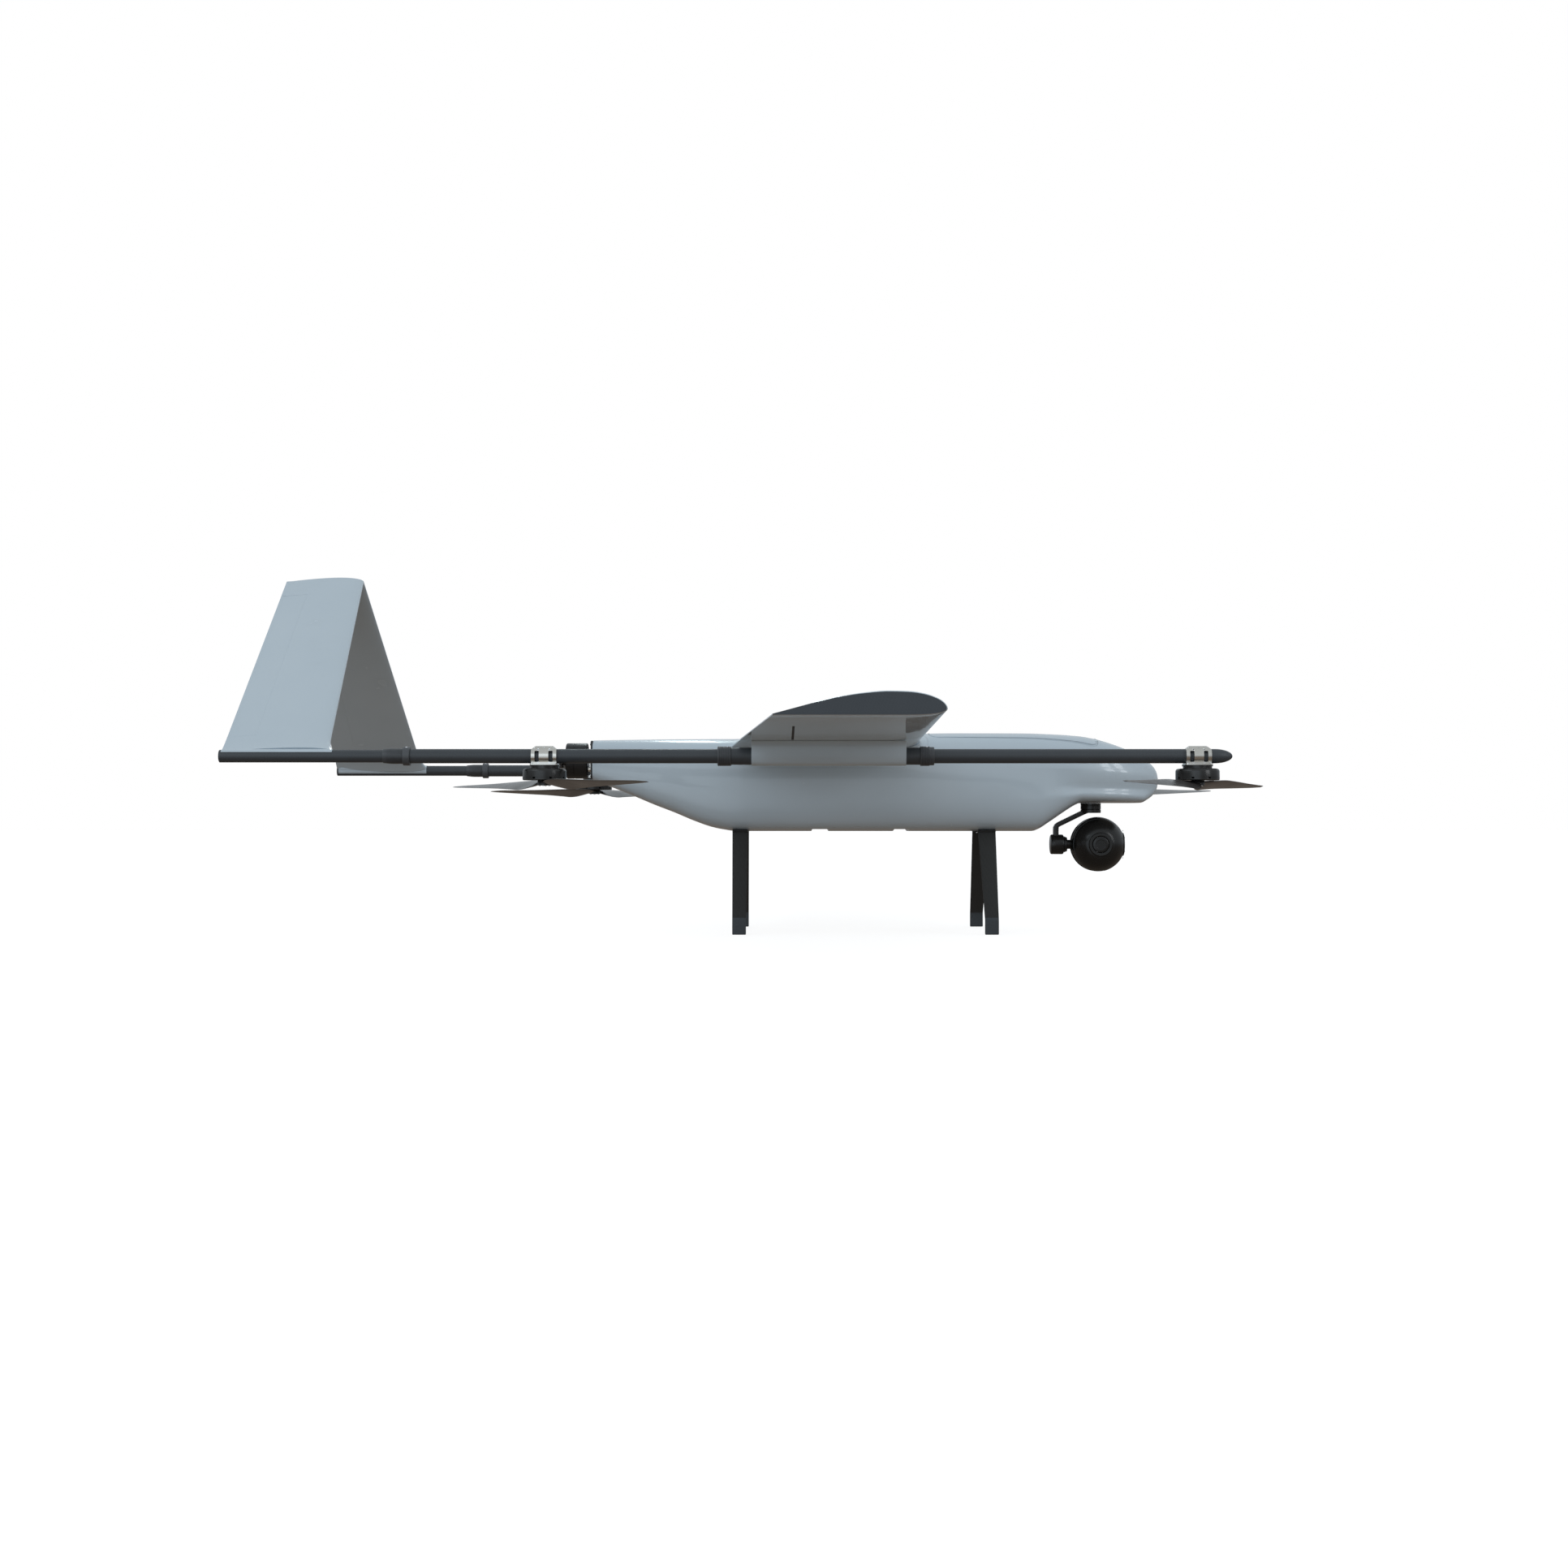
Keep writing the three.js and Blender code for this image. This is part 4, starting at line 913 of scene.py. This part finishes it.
def blade_geo(tab, n=13, stations=46):
    rs = [t[0] for t in tab]
    fs = [pchip(rs, [t[k] for t in tab]) for k in range(1, 6)]
    R = rs[-1]
    rings = []
    for i in range(stations):
        t = i / (stations - 1)
        r = rs[0] + (R - rs[0]) * (1 - (1 - t) ** 1.25)
        c, p, th, z, sw = (f(r) for f in fs)
        p = math.radians(p)
        pts = []
        ss = [0.5 * (1 - math.cos(math.pi * k / n)) for k in range(n + 1)]
        for q in ss:
            pts.append((0.5 - q, 1.5 * math.sqrt(q) * (1 - q) + 0.06 * q))
        for q in ss[-1:0:-1]:
            pts.append((0.5 - q, -(0.95 * math.sqrt(q) * (1 - q) + 0.06 * q)))
        ring = []
        for u, h in pts:
            a, b = u * c + sw, h * th
            ring.append((r, a * math.cos(p) - b * math.sin(p), z + a * math.sin(p) + b * math.cos(p)))
        rings.append(ring)
    return ring_loft(rings, caps=(True, True))


def lift_prop():
    one = blade_geo(LIFT)
    g = Geo().join(one, one.turn("z", 180))
    hub = lathe([(0, 277.6), (4.8, 277.6), (5, 276.6), (5.4, 276.1), (11.2, 276.1), (12, 276.8), (12, 284.5), (11.6, 285.0), (0, 285.0)], 64,
                mats=[1] * 8, closed=False)
    g.join(hub)
    for a in (45, 135, 225, 315):
        k = len(g.f)
        g.join(screw(8.4 * math.cos(math.radians(a)), 8.4 * math.sin(math.radians(a)), 276.2, "z-", 1.6, 1.1))
        g.m[k:] = [2] * (len(g.f) - k)
    cap = lathe([(0, 275.8), (3.9, 275.8), (4.2, 276.2), (4.2, 278.4), (0, 278.4)], 32, closed=False)
    cap.m = [2] * len(cap.m)
    return g.join(cap)


PROP = lift_prop()
BELL = bell_geo()
BASE = base_geo()
for which, mx in MOTOR_X.items():
    for nm, s in SIDES:
        cy = s * BOOM_Y
        ob = clamp_obj(f"boom_clamp_{which}_{nm}", mx, cy)
        piece(ob, "airframe", f"motor_mount_{which}_{nm}", 30, 0.45)
        sc = Geo()
        jaw_y = lambda z: math.sqrt(17.8 ** 2 - (z - BOOM_Z) ** 2)
        for sy in (-1, 1):
            for dx in (-9.6, 9.6):
                for z in (338.2, 315.6):
                    sc.join(screw(mx + dx, cy + sy * (jaw_y(z) - 2.0), z, "y", 2.0, 3.2, sy))
            for dx in (-16.4, 0, 16.4):
                sc.join(screw(mx + dx, cy + sy * (jaw_y(341.2) - 2.0), 341.2 if dx == 0 else 340.4, "y", 1.4, 2.8, sy))
            for dx in (-20.5, 20.5):
                sc.join(screw(mx + dx, cy + sy * 16.5, 314.0, "z", 1.9, 1.2))
        make(f"clamp_screws_{which}_{nm}", sc, [STEEL], "airframe")
        make(f"motor_fixed_{which}_{nm}", BASE.move(mx, cy, 0), [ANOD, COPPER], "airframe", f"motor_base_{which}_{nm}", 30)
        # windings seen through the vents
        wd = Geo()
        for k in range(18):
            a = 20 * k
            wd.join(prism(rounded_poly([(21.2, -2.6), (31.5, -3.9), (31.5, 3.9), (21.2, 2.6)], 1.4, 3), "xy", 291.8, 300.4).turn("z", a))
        make(f"windings_{which}_{nm}", wd.move(mx, cy, 0), [COPPER], "airframe")
        body = f"rotor_{which}_{nm}"
        make(f"bell_{which}_{nm}", BELL.move(mx, cy, 0), [ANOD], body, f"motor_bell_{which}_{nm}", 30)
        p = PROP.turn("z", -57) if which == "front" else PROP.turn("z", 52.5)
        make(f"propeller_{which}_{nm}", p.move(mx, BOOM_Y, 0).side(s), [BLADE, ANOD_DARK, STEEL], body, f"prop_{which}_{nm}", 40)

# --------------------------------------------------------------- pusher motor
def hole_plate():
    g = prism([(a, 335.5 + b) for a, b in rounded_poly([(-37.5, -37.5), (37.5, -37.5), (37.5, 37.5), (-37.5, 37.5)], 10, 6)], "yz", -378.2, -374.4)
    return g


mt = Geo().join(hole_plate())
for a in (-17, 17):
    for b in (-17, 17):
        mt.join(lathe([(0, -385.2), (3.2, -385.2), (4, -384.6), (4, -376), (0, -376)], 32, "x", (0, a, PUSH_Z + b), closed=False))
mt.m = [0] * len(hole_plate().f) + [1] * (len(mt.f) - len(hole_plate().f))
make("firewall_plate", mt, [ANOD_DARK, ALU], "airframe", "pusher_mount", 30, 0.4)
sc = Geo()
for a in (-31, 31):
    for b in (-31, 31):
        sc.join(lathe([(0, -379.6), (2.6, -379.6), (3, -379.2), (3, -378.2), (0, -378.2)], 24, "x", (0, a, 335.5 + b), closed=False))
make("firewall_screws", sc, [STEEL], "airframe")
ps = lathe([(0, -385.6), (24.4, -385.6), (25, -386.2), (25, -391.2), (24.6, -391.6), (21, -391.6), (21, -419), (0, -419)], 72, "x", (0, 0, PUSH_Z), mats=[0, 0, 0, 0, 0, 1, 1], closed=False)
make("pusher_fixed", ps, [ANOD, COPPER], "airframe", "pusher_stator", 30)
pbp = [(0, -434), (8.4, -434), (9, -433.4), (9, -428.6), (32, -428.6), (33.6, -428.1), (34.7, -426.9), (35, -425.4), (35, -413.0), (34.6, -412.6), (34.6, -411.4), (35, -411.0),
       (35, -388.4), (34.6, -387.2), (33.6, -386.5), (28, -386.5), (28, -388.8), (32, -389.4), (32, -422.4), (0, -422.4)]
make("pusher_bell_body", lathe(pbp, 96, "x", (0, 0, PUSH_Z), closed=False), [ANOD_DARK], "rotor_pusher", "pusher_bell", 30)
one = blade_geo(PUSH)
pp = Geo().join(one, one.turn("z", 180))
k = len(pp.f)
pp.join(lathe([(0, 7), (12.6, 7), (14, 5.6), (14, -5.5), (13.4, -6.9), (13, -7.2), (12.2, -10.5), (10.5, -15.5), (8.4, -19), (6, -21.5), (3, -23.4), (0, -24)], 64, closed=False))
pp.m = [0] * k + [1] * (len(pp.f) - k)
pp = pp.xf(lambda x, y, z: (z - 441.4, x, PUSH_Z + y))
make("pusher_propeller", pp, [BLADE, ANOD_DARK], "rotor_pusher", "prop_pusher", 40)

# ----------------------------------------------------------------------- tail
TA = math.atan2(APEX_Z - BOOM_Z, BOOM_Y)
TS = math.hypot(APEX_Z - BOOM_Z, BOOM_Y)


def naca(x):
    return 5 * (0.2969 * math.sqrt(max(x, 0)) - 0.126 * x - 0.3516 * x * x + 0.2843 * x**3 - 0.1036 * x**4)


def t_le(s): return T_LE0 + (T_LE1 - T_LE0) * s / TS
def t_th(s): return 16.8 + (14 - 16.8) * s / TS


def t_half(s, q): return max(naca(q) * t_th(s), 0.7 if q > 0.02 else 0.0)


def to_tail(p):
    x, s, n = p
    return (x, BOOM_Y - (s * math.cos(TA) - n * math.sin(TA)), BOOM_Z + s * math.sin(TA) + n * math.cos(TA))


def tail_ring(s, n=26, grow=0.0):
    e = max(0.0, (RS0 - 4 - s) / (RS0 - 15.5)) ** 2.2
    grow = 2.4 * e
    le = t_le(s) + 9.0 * e
    c = le - T_TE
    up = [(le - (i / n) ** 2 * c, s, t_half(s, (i / n) ** 2) + grow) for i in range(n + 1)]
    lo = [(le - (i / n) ** 2 * c, s, -t_half(s, (i / n) ** 2) - grow) for i in range(n, 0, -1)]
    return up + lo


def tail_cut(s, rad, n=24, m=12):
    le = t_le(s)
    c = le - T_TE
    lo_t, hi_t = 0.2, math.sqrt((le - RUD_X) / c)
    for _ in range(40):
        t = (lo_t + hi_t) / 2
        if math.hypot(le - t * t * c - RUD_X, t_half(s, t * t)) > rad:
            lo_t = t
        else:
            hi_t = t
    up = [(le - (lo_t * i / n) ** 2 * c, s, t_half(s, (lo_t * i / n) ** 2)) for i in range(n + 1)]
    lo = [(x, s, -z) for x, _, z in up[:0:-1]]
    a0 = math.atan2(up[-1][2], up[-1][0] - RUD_X)
    arc = [(RUD_X + rad * math.cos(a0 * (1 - 2 * j / m)), s, rad * math.sin(a0 * (1 - 2 * j / m))) for j in range(1, m)]
    return up + arc + lo, [0] * (2 * n + m)


def rud_half(s):
    le = t_le(s)
    return naca((le - RUD_X) / (le - T_TE)) * t_th(s)


q0, q1 = rud_half(RS0), rud_half(RS1)
def rud_r(s): return q0 + (q1 - q0) * (s - RS0) / (RS1 - RS0)


def panel_geo():
    g = Geo()
    g.join(ring_loft([tail_ring(s) for s in (11.5, 13, 15, 18, 22, 27, 33, 40, 48, 55, RS0)], cap_mats=(0, 0)))
    rings = []
    for s in np.linspace(RS0, RS1, 8):
        r, mats = tail_cut(float(s), rud_r(s) + 0.09)
        rings.append(r)
    g.join(ring_loft(rings, mats=mats, caps=(False, False)))
    apex = [(x, (BOOM_Y - 0.15 + n * math.sin(TA)) / math.cos(TA), n) for x, _, n in tail_ring(TS)]
    g.join(ring_loft([tail_ring(RS1), tail_ring(590), apex], cap_mats=(0, 0)))
    return g.xf(lambda *p: to_tail(p))


def rud_geo():
    rings, n, m = [], 14, 12
    cx = RUD_X - 0.15
    for s in np.linspace(RS0 + 0.25, RS1 - 0.25, 7):
        le = t_le(s)
        c = le - T_TE
        qq = (le - cx) / c
        up = [(le - (qq + (1 - qq) * i / n) * c, float(s), t_half(s, qq + (1 - qq) * i / n)) for i in range(n + 1)]
        lo = [(x, y, -z) for x, y, z in up[::-1]]
        rr = up[0][2] - 0.09
        arc = [(cx + rr * math.cos(a), float(s), rr * math.sin(a)) for a in [-math.pi / 2 + math.pi * j / m for j in range(1, m)]]
        rings.append(up + lo + arc)
    return ring_loft(rings).xf(lambda *p: to_tail(p))


def saddle():
    """Half sleeve on the inner and upper side of the tail tube, flared into the panel root."""
    rings = []
    a0, a1, n = math.radians(38), math.radians(212), 26
    for x, th in ((-979, 0.5), (-972, 0.9), (-900, 1.0), (-820, 1.1), (-800, 1.1), (-793, 0.8), (-786, 0.3)):
        lo = [(11.25 * math.cos(a0 + (a1 - a0) * i / n), 11.25 * math.sin(a0 + (a1 - a0) * i / n)) for i in range(n + 1)]
        up = []
        for i in range(n, -1, -1):
            a = a0 + (a1 - a0) * i / n
            d = abs(a - (math.pi - TA)) / 0.62
            flare = 0.0 if d > 1 else (1 - d * d) ** 2 * 5.0 * min(1, max(0, (-783 - x) / 16)) * min(1, max(0.0, (x + 981) / 7))
            e = min(1.0, i / 3, (n - i) / 3)
            rr = 11.25 + th * max(0.15, e) + flare
            up.append((rr * math.cos(a), rr * math.sin(a)))
        rings.append([(x, BOOM_Y + y, BOOM_Z + z) for y, z in lo + up])
    return ring_loft(rings)


for nm, s in SIDES:
    make(f"tail_skin_{nm}", panel_geo().side(s), [PAINT, SEAL], "airframe", f"tail_panel_{nm}", 40)
    make(f"ruddervator_skin_{nm}", rud_geo().side(s), [PAINT, SEAL], f"ruddervator_{nm}", f"ruddervator_{nm}", 40, 0.2)
    make(f"tail_saddle_{nm}", saddle().side(s), [PAINT], "airframe", angle=50)

# ----------------------------------------------------------------------- legs


def leg_geo(xc, top):
    """Bent plate, wider at the top: slanted shank, tight bend, upright foot."""
    line = [(62.2, 200.0), (70, 187.2), (100, 138.0), (130, 88.7), (160, 39.5), (165.6, 30.6), (166.7, 27.6), (167.0, 24.6), (167.0, 12), (167.0, 1.4), (167.0, 0.0)]
    nor = [(0.854, 0.52)] * 5 + [(0.90, 0.43), (0.965, 0.26), (1.0, 0.05)] + [(1.0, 0.0)] * 3
    rings = []
    for k, (p, q) in enumerate(zip(line, nor)):
        z = p[1]
        hw = 13 if z < 30 else 13 + (top / 2 - 13) * (z - 30) / 165
        hw, t = (hw - 0.8, 2.7) if k == len(line) - 1 else (hw, 3.5)
        sec = rounded_poly([(-hw, -t), (hw, -t), (hw, t), (-hw, t)], 1.2, 3)
        rings.append([(xc + a, p[0] + q[0] * b, p[1] + q[1] * b) for a, b in sec])
    return rings


for which, xc, top in (("front", 393.6, 33.6), ("rear", -85.0, 30.0)):
    for nm, s in SIDES:
        rings = leg_geo(xc, top)
        g = ring_loft(rings)
        n = len(rings[0])
        # rings from the bend down take the lighter copy of the carbon: painted light on the upright foot
        g.m = [1 if k // n >= 5 else 0 for k in range(len(g.f))]
        g.m[-2:] = [0, 1]
        g.v = [(x, y, min(max(z, 0.0), 199.9)) for x, y, z in g.v]
        make(f"leg_{which}_{nm}_plate", g.side(s), [LEG, FOOT_PAINTED_LIT], "airframe", f"leg_{which}_{nm}", 25)
        # mounting flange under the belly with two screws
        fl = Geo().join(prism([(y, z) for y, z in rounded_poly([(46, 193.4), (70, 193.4), (73, 197.2), (46, 196.2)], 0.8, 3)], "yz", xc - top / 2, xc + top / 2))
        make(f"leg_flange_{which}_{nm}", fl.side(s), [LEG], "airframe", bev=0.4)
        sc = Geo()
        for dx in (-9, 9):
            sc.join(screw(xc + dx, 51.5, 193.5, "z-", 2.1, 1.2))
        make(f"leg_screws_{which}_{nm}", sc.side(s), [STEEL], "airframe")

# --------------------------------------------------------------------- gimbal
gm = lathe([(0, 250.4), (19.85, 250.4), (19.85, 246.2), (19.4, 245.9), (19.4, 245.2), (19.85, 244.9), (19.85, 239.0), (19.5, 238.6), (18.2, 238.6), (18.2, 238.22), (0, 238.22)], 80, "z", (GIM_X, 0, 0), closed=False)
make("gimbal_mount_body", gm, [GIMBAL], "airframe", "gimbal_mount", 30, 0.25)
arm_line = [(598, 234.7), (591, 233.0), (584, 229.9), (560, 218.2), (541, 208.9), (537.4, 206.4), (535.7, 202.6), (535.5, 196), (535.5, 182)]
arr = np.array(arm_line, float)
tan = np.gradient(arr, axis=0)
tan /= np.linalg.norm(tan, axis=1)[:, None]
nor = np.stack([-tan[:, 1], tan[:, 0]], 1)
rings = []
for i, (p, q) in enumerate(zip(arr, nor)):
    t = 3.4 if i < 1 else (4.5 if i < 6 else 4.9)
    sec = rounded_poly([(-9, -t), (9, -t), (9, t), (-9, t)], 1.4, 3)
    rings.append([(p[0] + q[0] * b, a, p[1] + q[1] * b) for a, b in sec])
am = Geo().join(ring_loft(rings))
am.join(lathe([(0, 238.2), (19.5, 238.2), (19.85, 237.8), (19.85, 232.2), (19.2, 231.4), (0, 231.4)], 80, "z", (GIM_X, 0, 0), closed=False))
am.join(lathe([(0, 524.6), (16.8, 524.6), (18.8, 525.6), (19.5, 527.4), (19.5, 530.4), (19.1, 530.7), (19.1, 531.5), (19.5, 531.8), (19.5, 547.2), (19.0, 549.4), (17.6, 550.0), (0, 550.0)], 80, "x", (0, 0, BALL_Z), closed=False))
make("gimbal_arm_body", am, [GIMBAL], "gimbal_yaw", "gimbal_yaw_arm", 30, 0.25)
yk = Geo().join(lathe([(0, 550.4), (15.2, 550.4), (15.6, 551.0), (15.6, 553.6), (14.4, 554.2), (14.4, 556.4), (13.8, 557.0), (9.2, 557.0), (9.0, 557.6), (9.0, BALL_X), (0, BALL_X)], 64, "x", (0, 0, BALL_Z), closed=False))
hub_prof = [(0, -49.9), (9.0, -49.9), (9.6, -50.4), (13.4, -50.4), (15.2, -49.9), (15.7, -49.2), (15.7, -45.2), (9, -44.8), (9, 44.8), (15.7, 45.2), (15.7, 49.2), (15.2, 49.9),
            (13.4, 50.4), (9.6, 50.4), (9.0, 49.9), (0, 49.9)]
yk.join(lathe(hub_prof, 72, "y", (BALL_X, 0, BALL_Z), closed=False))
make("gimbal_yoke_body", yk, [GIMBAL], "gimbal_roll", "gimbal_yoke", 30, 0.2)


def ball_profile():
    R = BALL_R
    pts = []
    y_end = 46.6
    # half profile from the outer pole ring over the equator, with two seam grooves and a raised hub ring
    ys = list(np.linspace(0, y_end, 30))
    half = []
    for y in ys:
        r = math.sqrt(R * R - y * y)
        half.append((r, y))
    g = []
    for r, y in half:
        g.append((r, y))
    seam = 21.0
    out = []
    for r, y in g:
        if abs(y - seam) < 1.0:
            continue
        out.append((r, y))
    out += [(math.sqrt(R * R - (seam - 0.8) ** 2), seam - 0.8), (math.sqrt(R * R - (seam - 0.5) ** 2) - 1.0, seam - 0.5),
            (math.sqrt(R * R - (seam + 0.5) ** 2) - 1.0, seam + 0.5), (math.sqrt(R * R - (seam + 0.8) ** 2), seam + 0.8)]
    out.sort(key=lambda p: p[1])
    ring = [(23.6, 47.4), (22.6, 49.6), (21.8, 50.2), (17.6, 50.2), (16.7, 49.6), (16.2, 48.8), (16.2, 44.4)]
    inner = [(math.sqrt((R - 3.5) ** 2 - y * y), y) for y in np.linspace(44.4, 0, 16)]
    pos = out + ring + inner[1:]
    neg = [(r, -y) for r, y in (out[1:] + ring + inner[1:-1])][::-1]
    loop = pos + neg
    return loop


ball = raw("gimbal_ball_shell", lathe(ball_profile(), 112, "y", (BALL_X, 0, BALL_Z), closed=True), [GIMBAL])
sector = [(BALL_X, BALL_Z)] + [(BALL_X + 80 * math.cos(math.radians(a)), BALL_Z + 80 * math.sin(math.radians(a))) for a in np.linspace(137, 284, 15)]
carve(ball, [prism(sector, "xz", -9.7, 9.7), block(667.5, 690, -60, 60, 100, 240),
             lathe([(0, 636), (23.4, 636), (23.4, 700), (0, 700)], 72, "x", (0, 0, BALL_Z))])
piece(ball, "gimbal_pitch", "gimbal_ball", 28)
ln = lathe([(0, 634), (16, 634), (16, 640), (22.9, 652), (22.9, 667.9), (22.4, 668.5), (20.8, 668.5), (20.2, 667.6), (19.4, 665.6), (19.2, 665.2), (15, 666.3), (9, 667.0), (0, 667.3)], 80, "x", (0, 0, BALL_Z),
           mats=[0, 0, 0, 0, 0, 0, 0, 0, 1, 1, 1, 1], closed=False)
make("gimbal_lens_unit", ln, [GIMBAL, LENS], "gimbal_pitch", "gimbal_lens", 40)
rim = Geo()
for k in range(6):
    a = math.radians(60 * k + 30)
    rim.join(lathe([(0, 667.4), (1.3, 667.4), (1.3, 668.1), (0.8, 668.3), (0, 668.0)], 16, "x", (0, 26.6 * math.cos(a), BALL_Z + 26.6 * math.sin(a)), closed=False))
make("gimbal_lens_screws", rim, [STEEL], "gimbal_pitch")

# ---------------------------------------------------------------------- stage
fl = bpy.data.meshes.new("floor")
fl.from_pydata([(-60, -30, -0.0005), (60, -30, -0.0005), (60, 90, -0.0005), (-60, 90, -0.0005)], [], [(0, 1, 2, 3)])
floor = bpy.data.objects.new("floor", fl)
bpy.context.scene.collection.objects.link(floor)
fm = Nodes("pale_floor")
fn = fm.noise(2.0, 3, 0.5)
fm.set(color=fm.ramp(fn, [(0.3, (0.30, 0.30, 0.30)), (0.7, (0.32, 0.32, 0.32))]), rough=0.9, spec=0.0)
fm.b.inputs["Emission Color"].default_value = (1, 1, 1, 1)
fm.b.inputs["Emission Strength"].default_value = 0.86
fl.materials.append(fm.mat)
floor.visible_diffuse = False
floor.visible_glossy = False

world = bpy.data.worlds.new("studio")
bpy.context.scene.world = world
world.use_nodes = True
wt = world.node_tree
wt.nodes.clear()
wo = wt.nodes.new("ShaderNodeOutputWorld")
bg = wt.nodes.new("ShaderNodeBackground")
bw = wt.nodes.new("ShaderNodeBackground")
mx_ = wt.nodes.new("ShaderNodeMixShader")
lp = wt.nodes.new("ShaderNodeLightPath")
tc = wt.nodes.new("ShaderNodeTexCoord")
sp = wt.nodes.new("ShaderNodeSeparateXYZ")
mr = wt.nodes.new("ShaderNodeMapRange")
cr_ = wt.nodes.new("ShaderNodeValToRGB")
wt.links.new(tc.outputs["Generated"], sp.inputs[0])
wt.links.new(sp.outputs["Z"], mr.inputs[0])
mr.inputs[1].default_value, mr.inputs[2].default_value = -1.0, 1.0
wt.links.new(mr.outputs[0], cr_.inputs[0])
el = cr_.color_ramp.elements
stops = [(0.0, (0.190, 0.155, 0.125)), (0.42, (0.205, 0.175, 0.150)), (0.485, (0.27, 0.265, 0.26)), (0.53, (0.58, 0.63, 0.68)), (0.66, (0.66, 0.715, 0.755)), (1.0, (0.655, 0.71, 0.75))]
while len(el) < len(stops):
    el.new(0.5)
for e, (p, c) in zip(el, stops):
    e.position = p
    e.color = (*c, 1)
dot = wt.nodes.new("ShaderNodeVectorMath")
dot.operation = "DOT_PRODUCT"
nv = wt.nodes.new("ShaderNodeVectorMath")
nv.operation = "NORMALIZE"
wt.links.new(tc.outputs["Generated"], nv.inputs[0])
wt.links.new(nv.outputs[0], dot.inputs[0])
gd = Vector((-0.34, -0.93, 0.06)).normalized()
dot.inputs[1].default_value = gd
gm_ = wt.nodes.new("ShaderNodeMapRange")
gm_.interpolation_type = "SMOOTHERSTEP"
wt.links.new(dot.outputs["Value"], gm_.inputs[0])
gm_.inputs[1].default_value, gm_.inputs[2].default_value = math.cos(math.radians(34)), math.cos(math.radians(6))
gm_.inputs[3].default_value, gm_.inputs[4].default_value = 0.0, 1.0
ga = wt.nodes.new("ShaderNodeMix")
ga.data_type = "RGBA"
ga.blend_type = "ADD"
wt.links.new(gm_.outputs[0], ga.inputs[0])
wt.links.new(cr_.outputs[0], ga.inputs[6])
ga.inputs[7].default_value = (0.66, 0.78, 0.88, 1)
wt.links.new(ga.outputs[2], bg.inputs[0])
bg.inputs[1].default_value = 0.88
bw.inputs[0].default_value = (1, 1, 1, 1)
bw.inputs[1].default_value = 1.0
wt.links.new(lp.outputs["Is Camera Ray"], mx_.inputs[0])
wt.links.new(bg.outputs[0], mx_.inputs[1])
wt.links.new(bw.outputs[0], mx_.inputs[2])
wt.links.new(mx_.outputs[0], wo.inputs[0])


def area(name, loc, target, size, power, color=(1, 1, 1), spread=180):
    l = bpy.data.lights.new(name, "AREA")
    l.shape = "RECTANGLE"
    l.size, l.size_y = size
    l.energy = power
    l.color = color
    l.spread = math.radians(spread)
    o = bpy.data.objects.new(name, l)
    bpy.context.scene.collection.objects.link(o)
    o.location = loc
    d = Vector(target) - Vector(loc)
    o.rotation_euler = d.to_track_quat("-Z", "Y").to_euler()
    return o


area("shoulder_strip", (-0.41, 3.2, 3.1), (-0.2, 0, 0.36), (0.26, 1.1), 9, (0.86, 1.0, 1.0))
area("key_left", (-3.6, -3.2, 2.9), (-0.35, 0, 0.35), (2.6, 2.0), 22, (0.80, 0.92, 1.0))
for nm, az in (("window_a", 37), ("window_b", 46)):
    a = math.radians(az)
    for part, el_ in (("low", 11), ("high", 25)):
        e_ = math.radians(el_)
        dv = Vector((math.sin(a) * math.cos(e_), -math.cos(a) * math.cos(e_), math.sin(e_)))
        area(f"{nm}_{part}", tuple(Vector((0.68, -0.07, 0.31)) + dv * 3.4), (0.68, -0.07, 0.31), (0.30, 0.62), 3.2, (0.92, 0.96, 1.0))

cam = bpy.data.cameras.new("camera")
cam.lens = 50
cam.sensor_width = 36
cam.clip_end = 400
co = bpy.data.objects.new("camera", cam)
bpy.context.scene.collection.objects.link(co)
co.location = (OX / 1000, -4.293, 0.2053)
co.rotation_euler = (math.radians(91.11), 0, 0)
bpy.context.scene.camera = co
bpy.context.scene.view_settings.view_transform = "Standard"
bpy.context.scene.view_settings.look = "None"
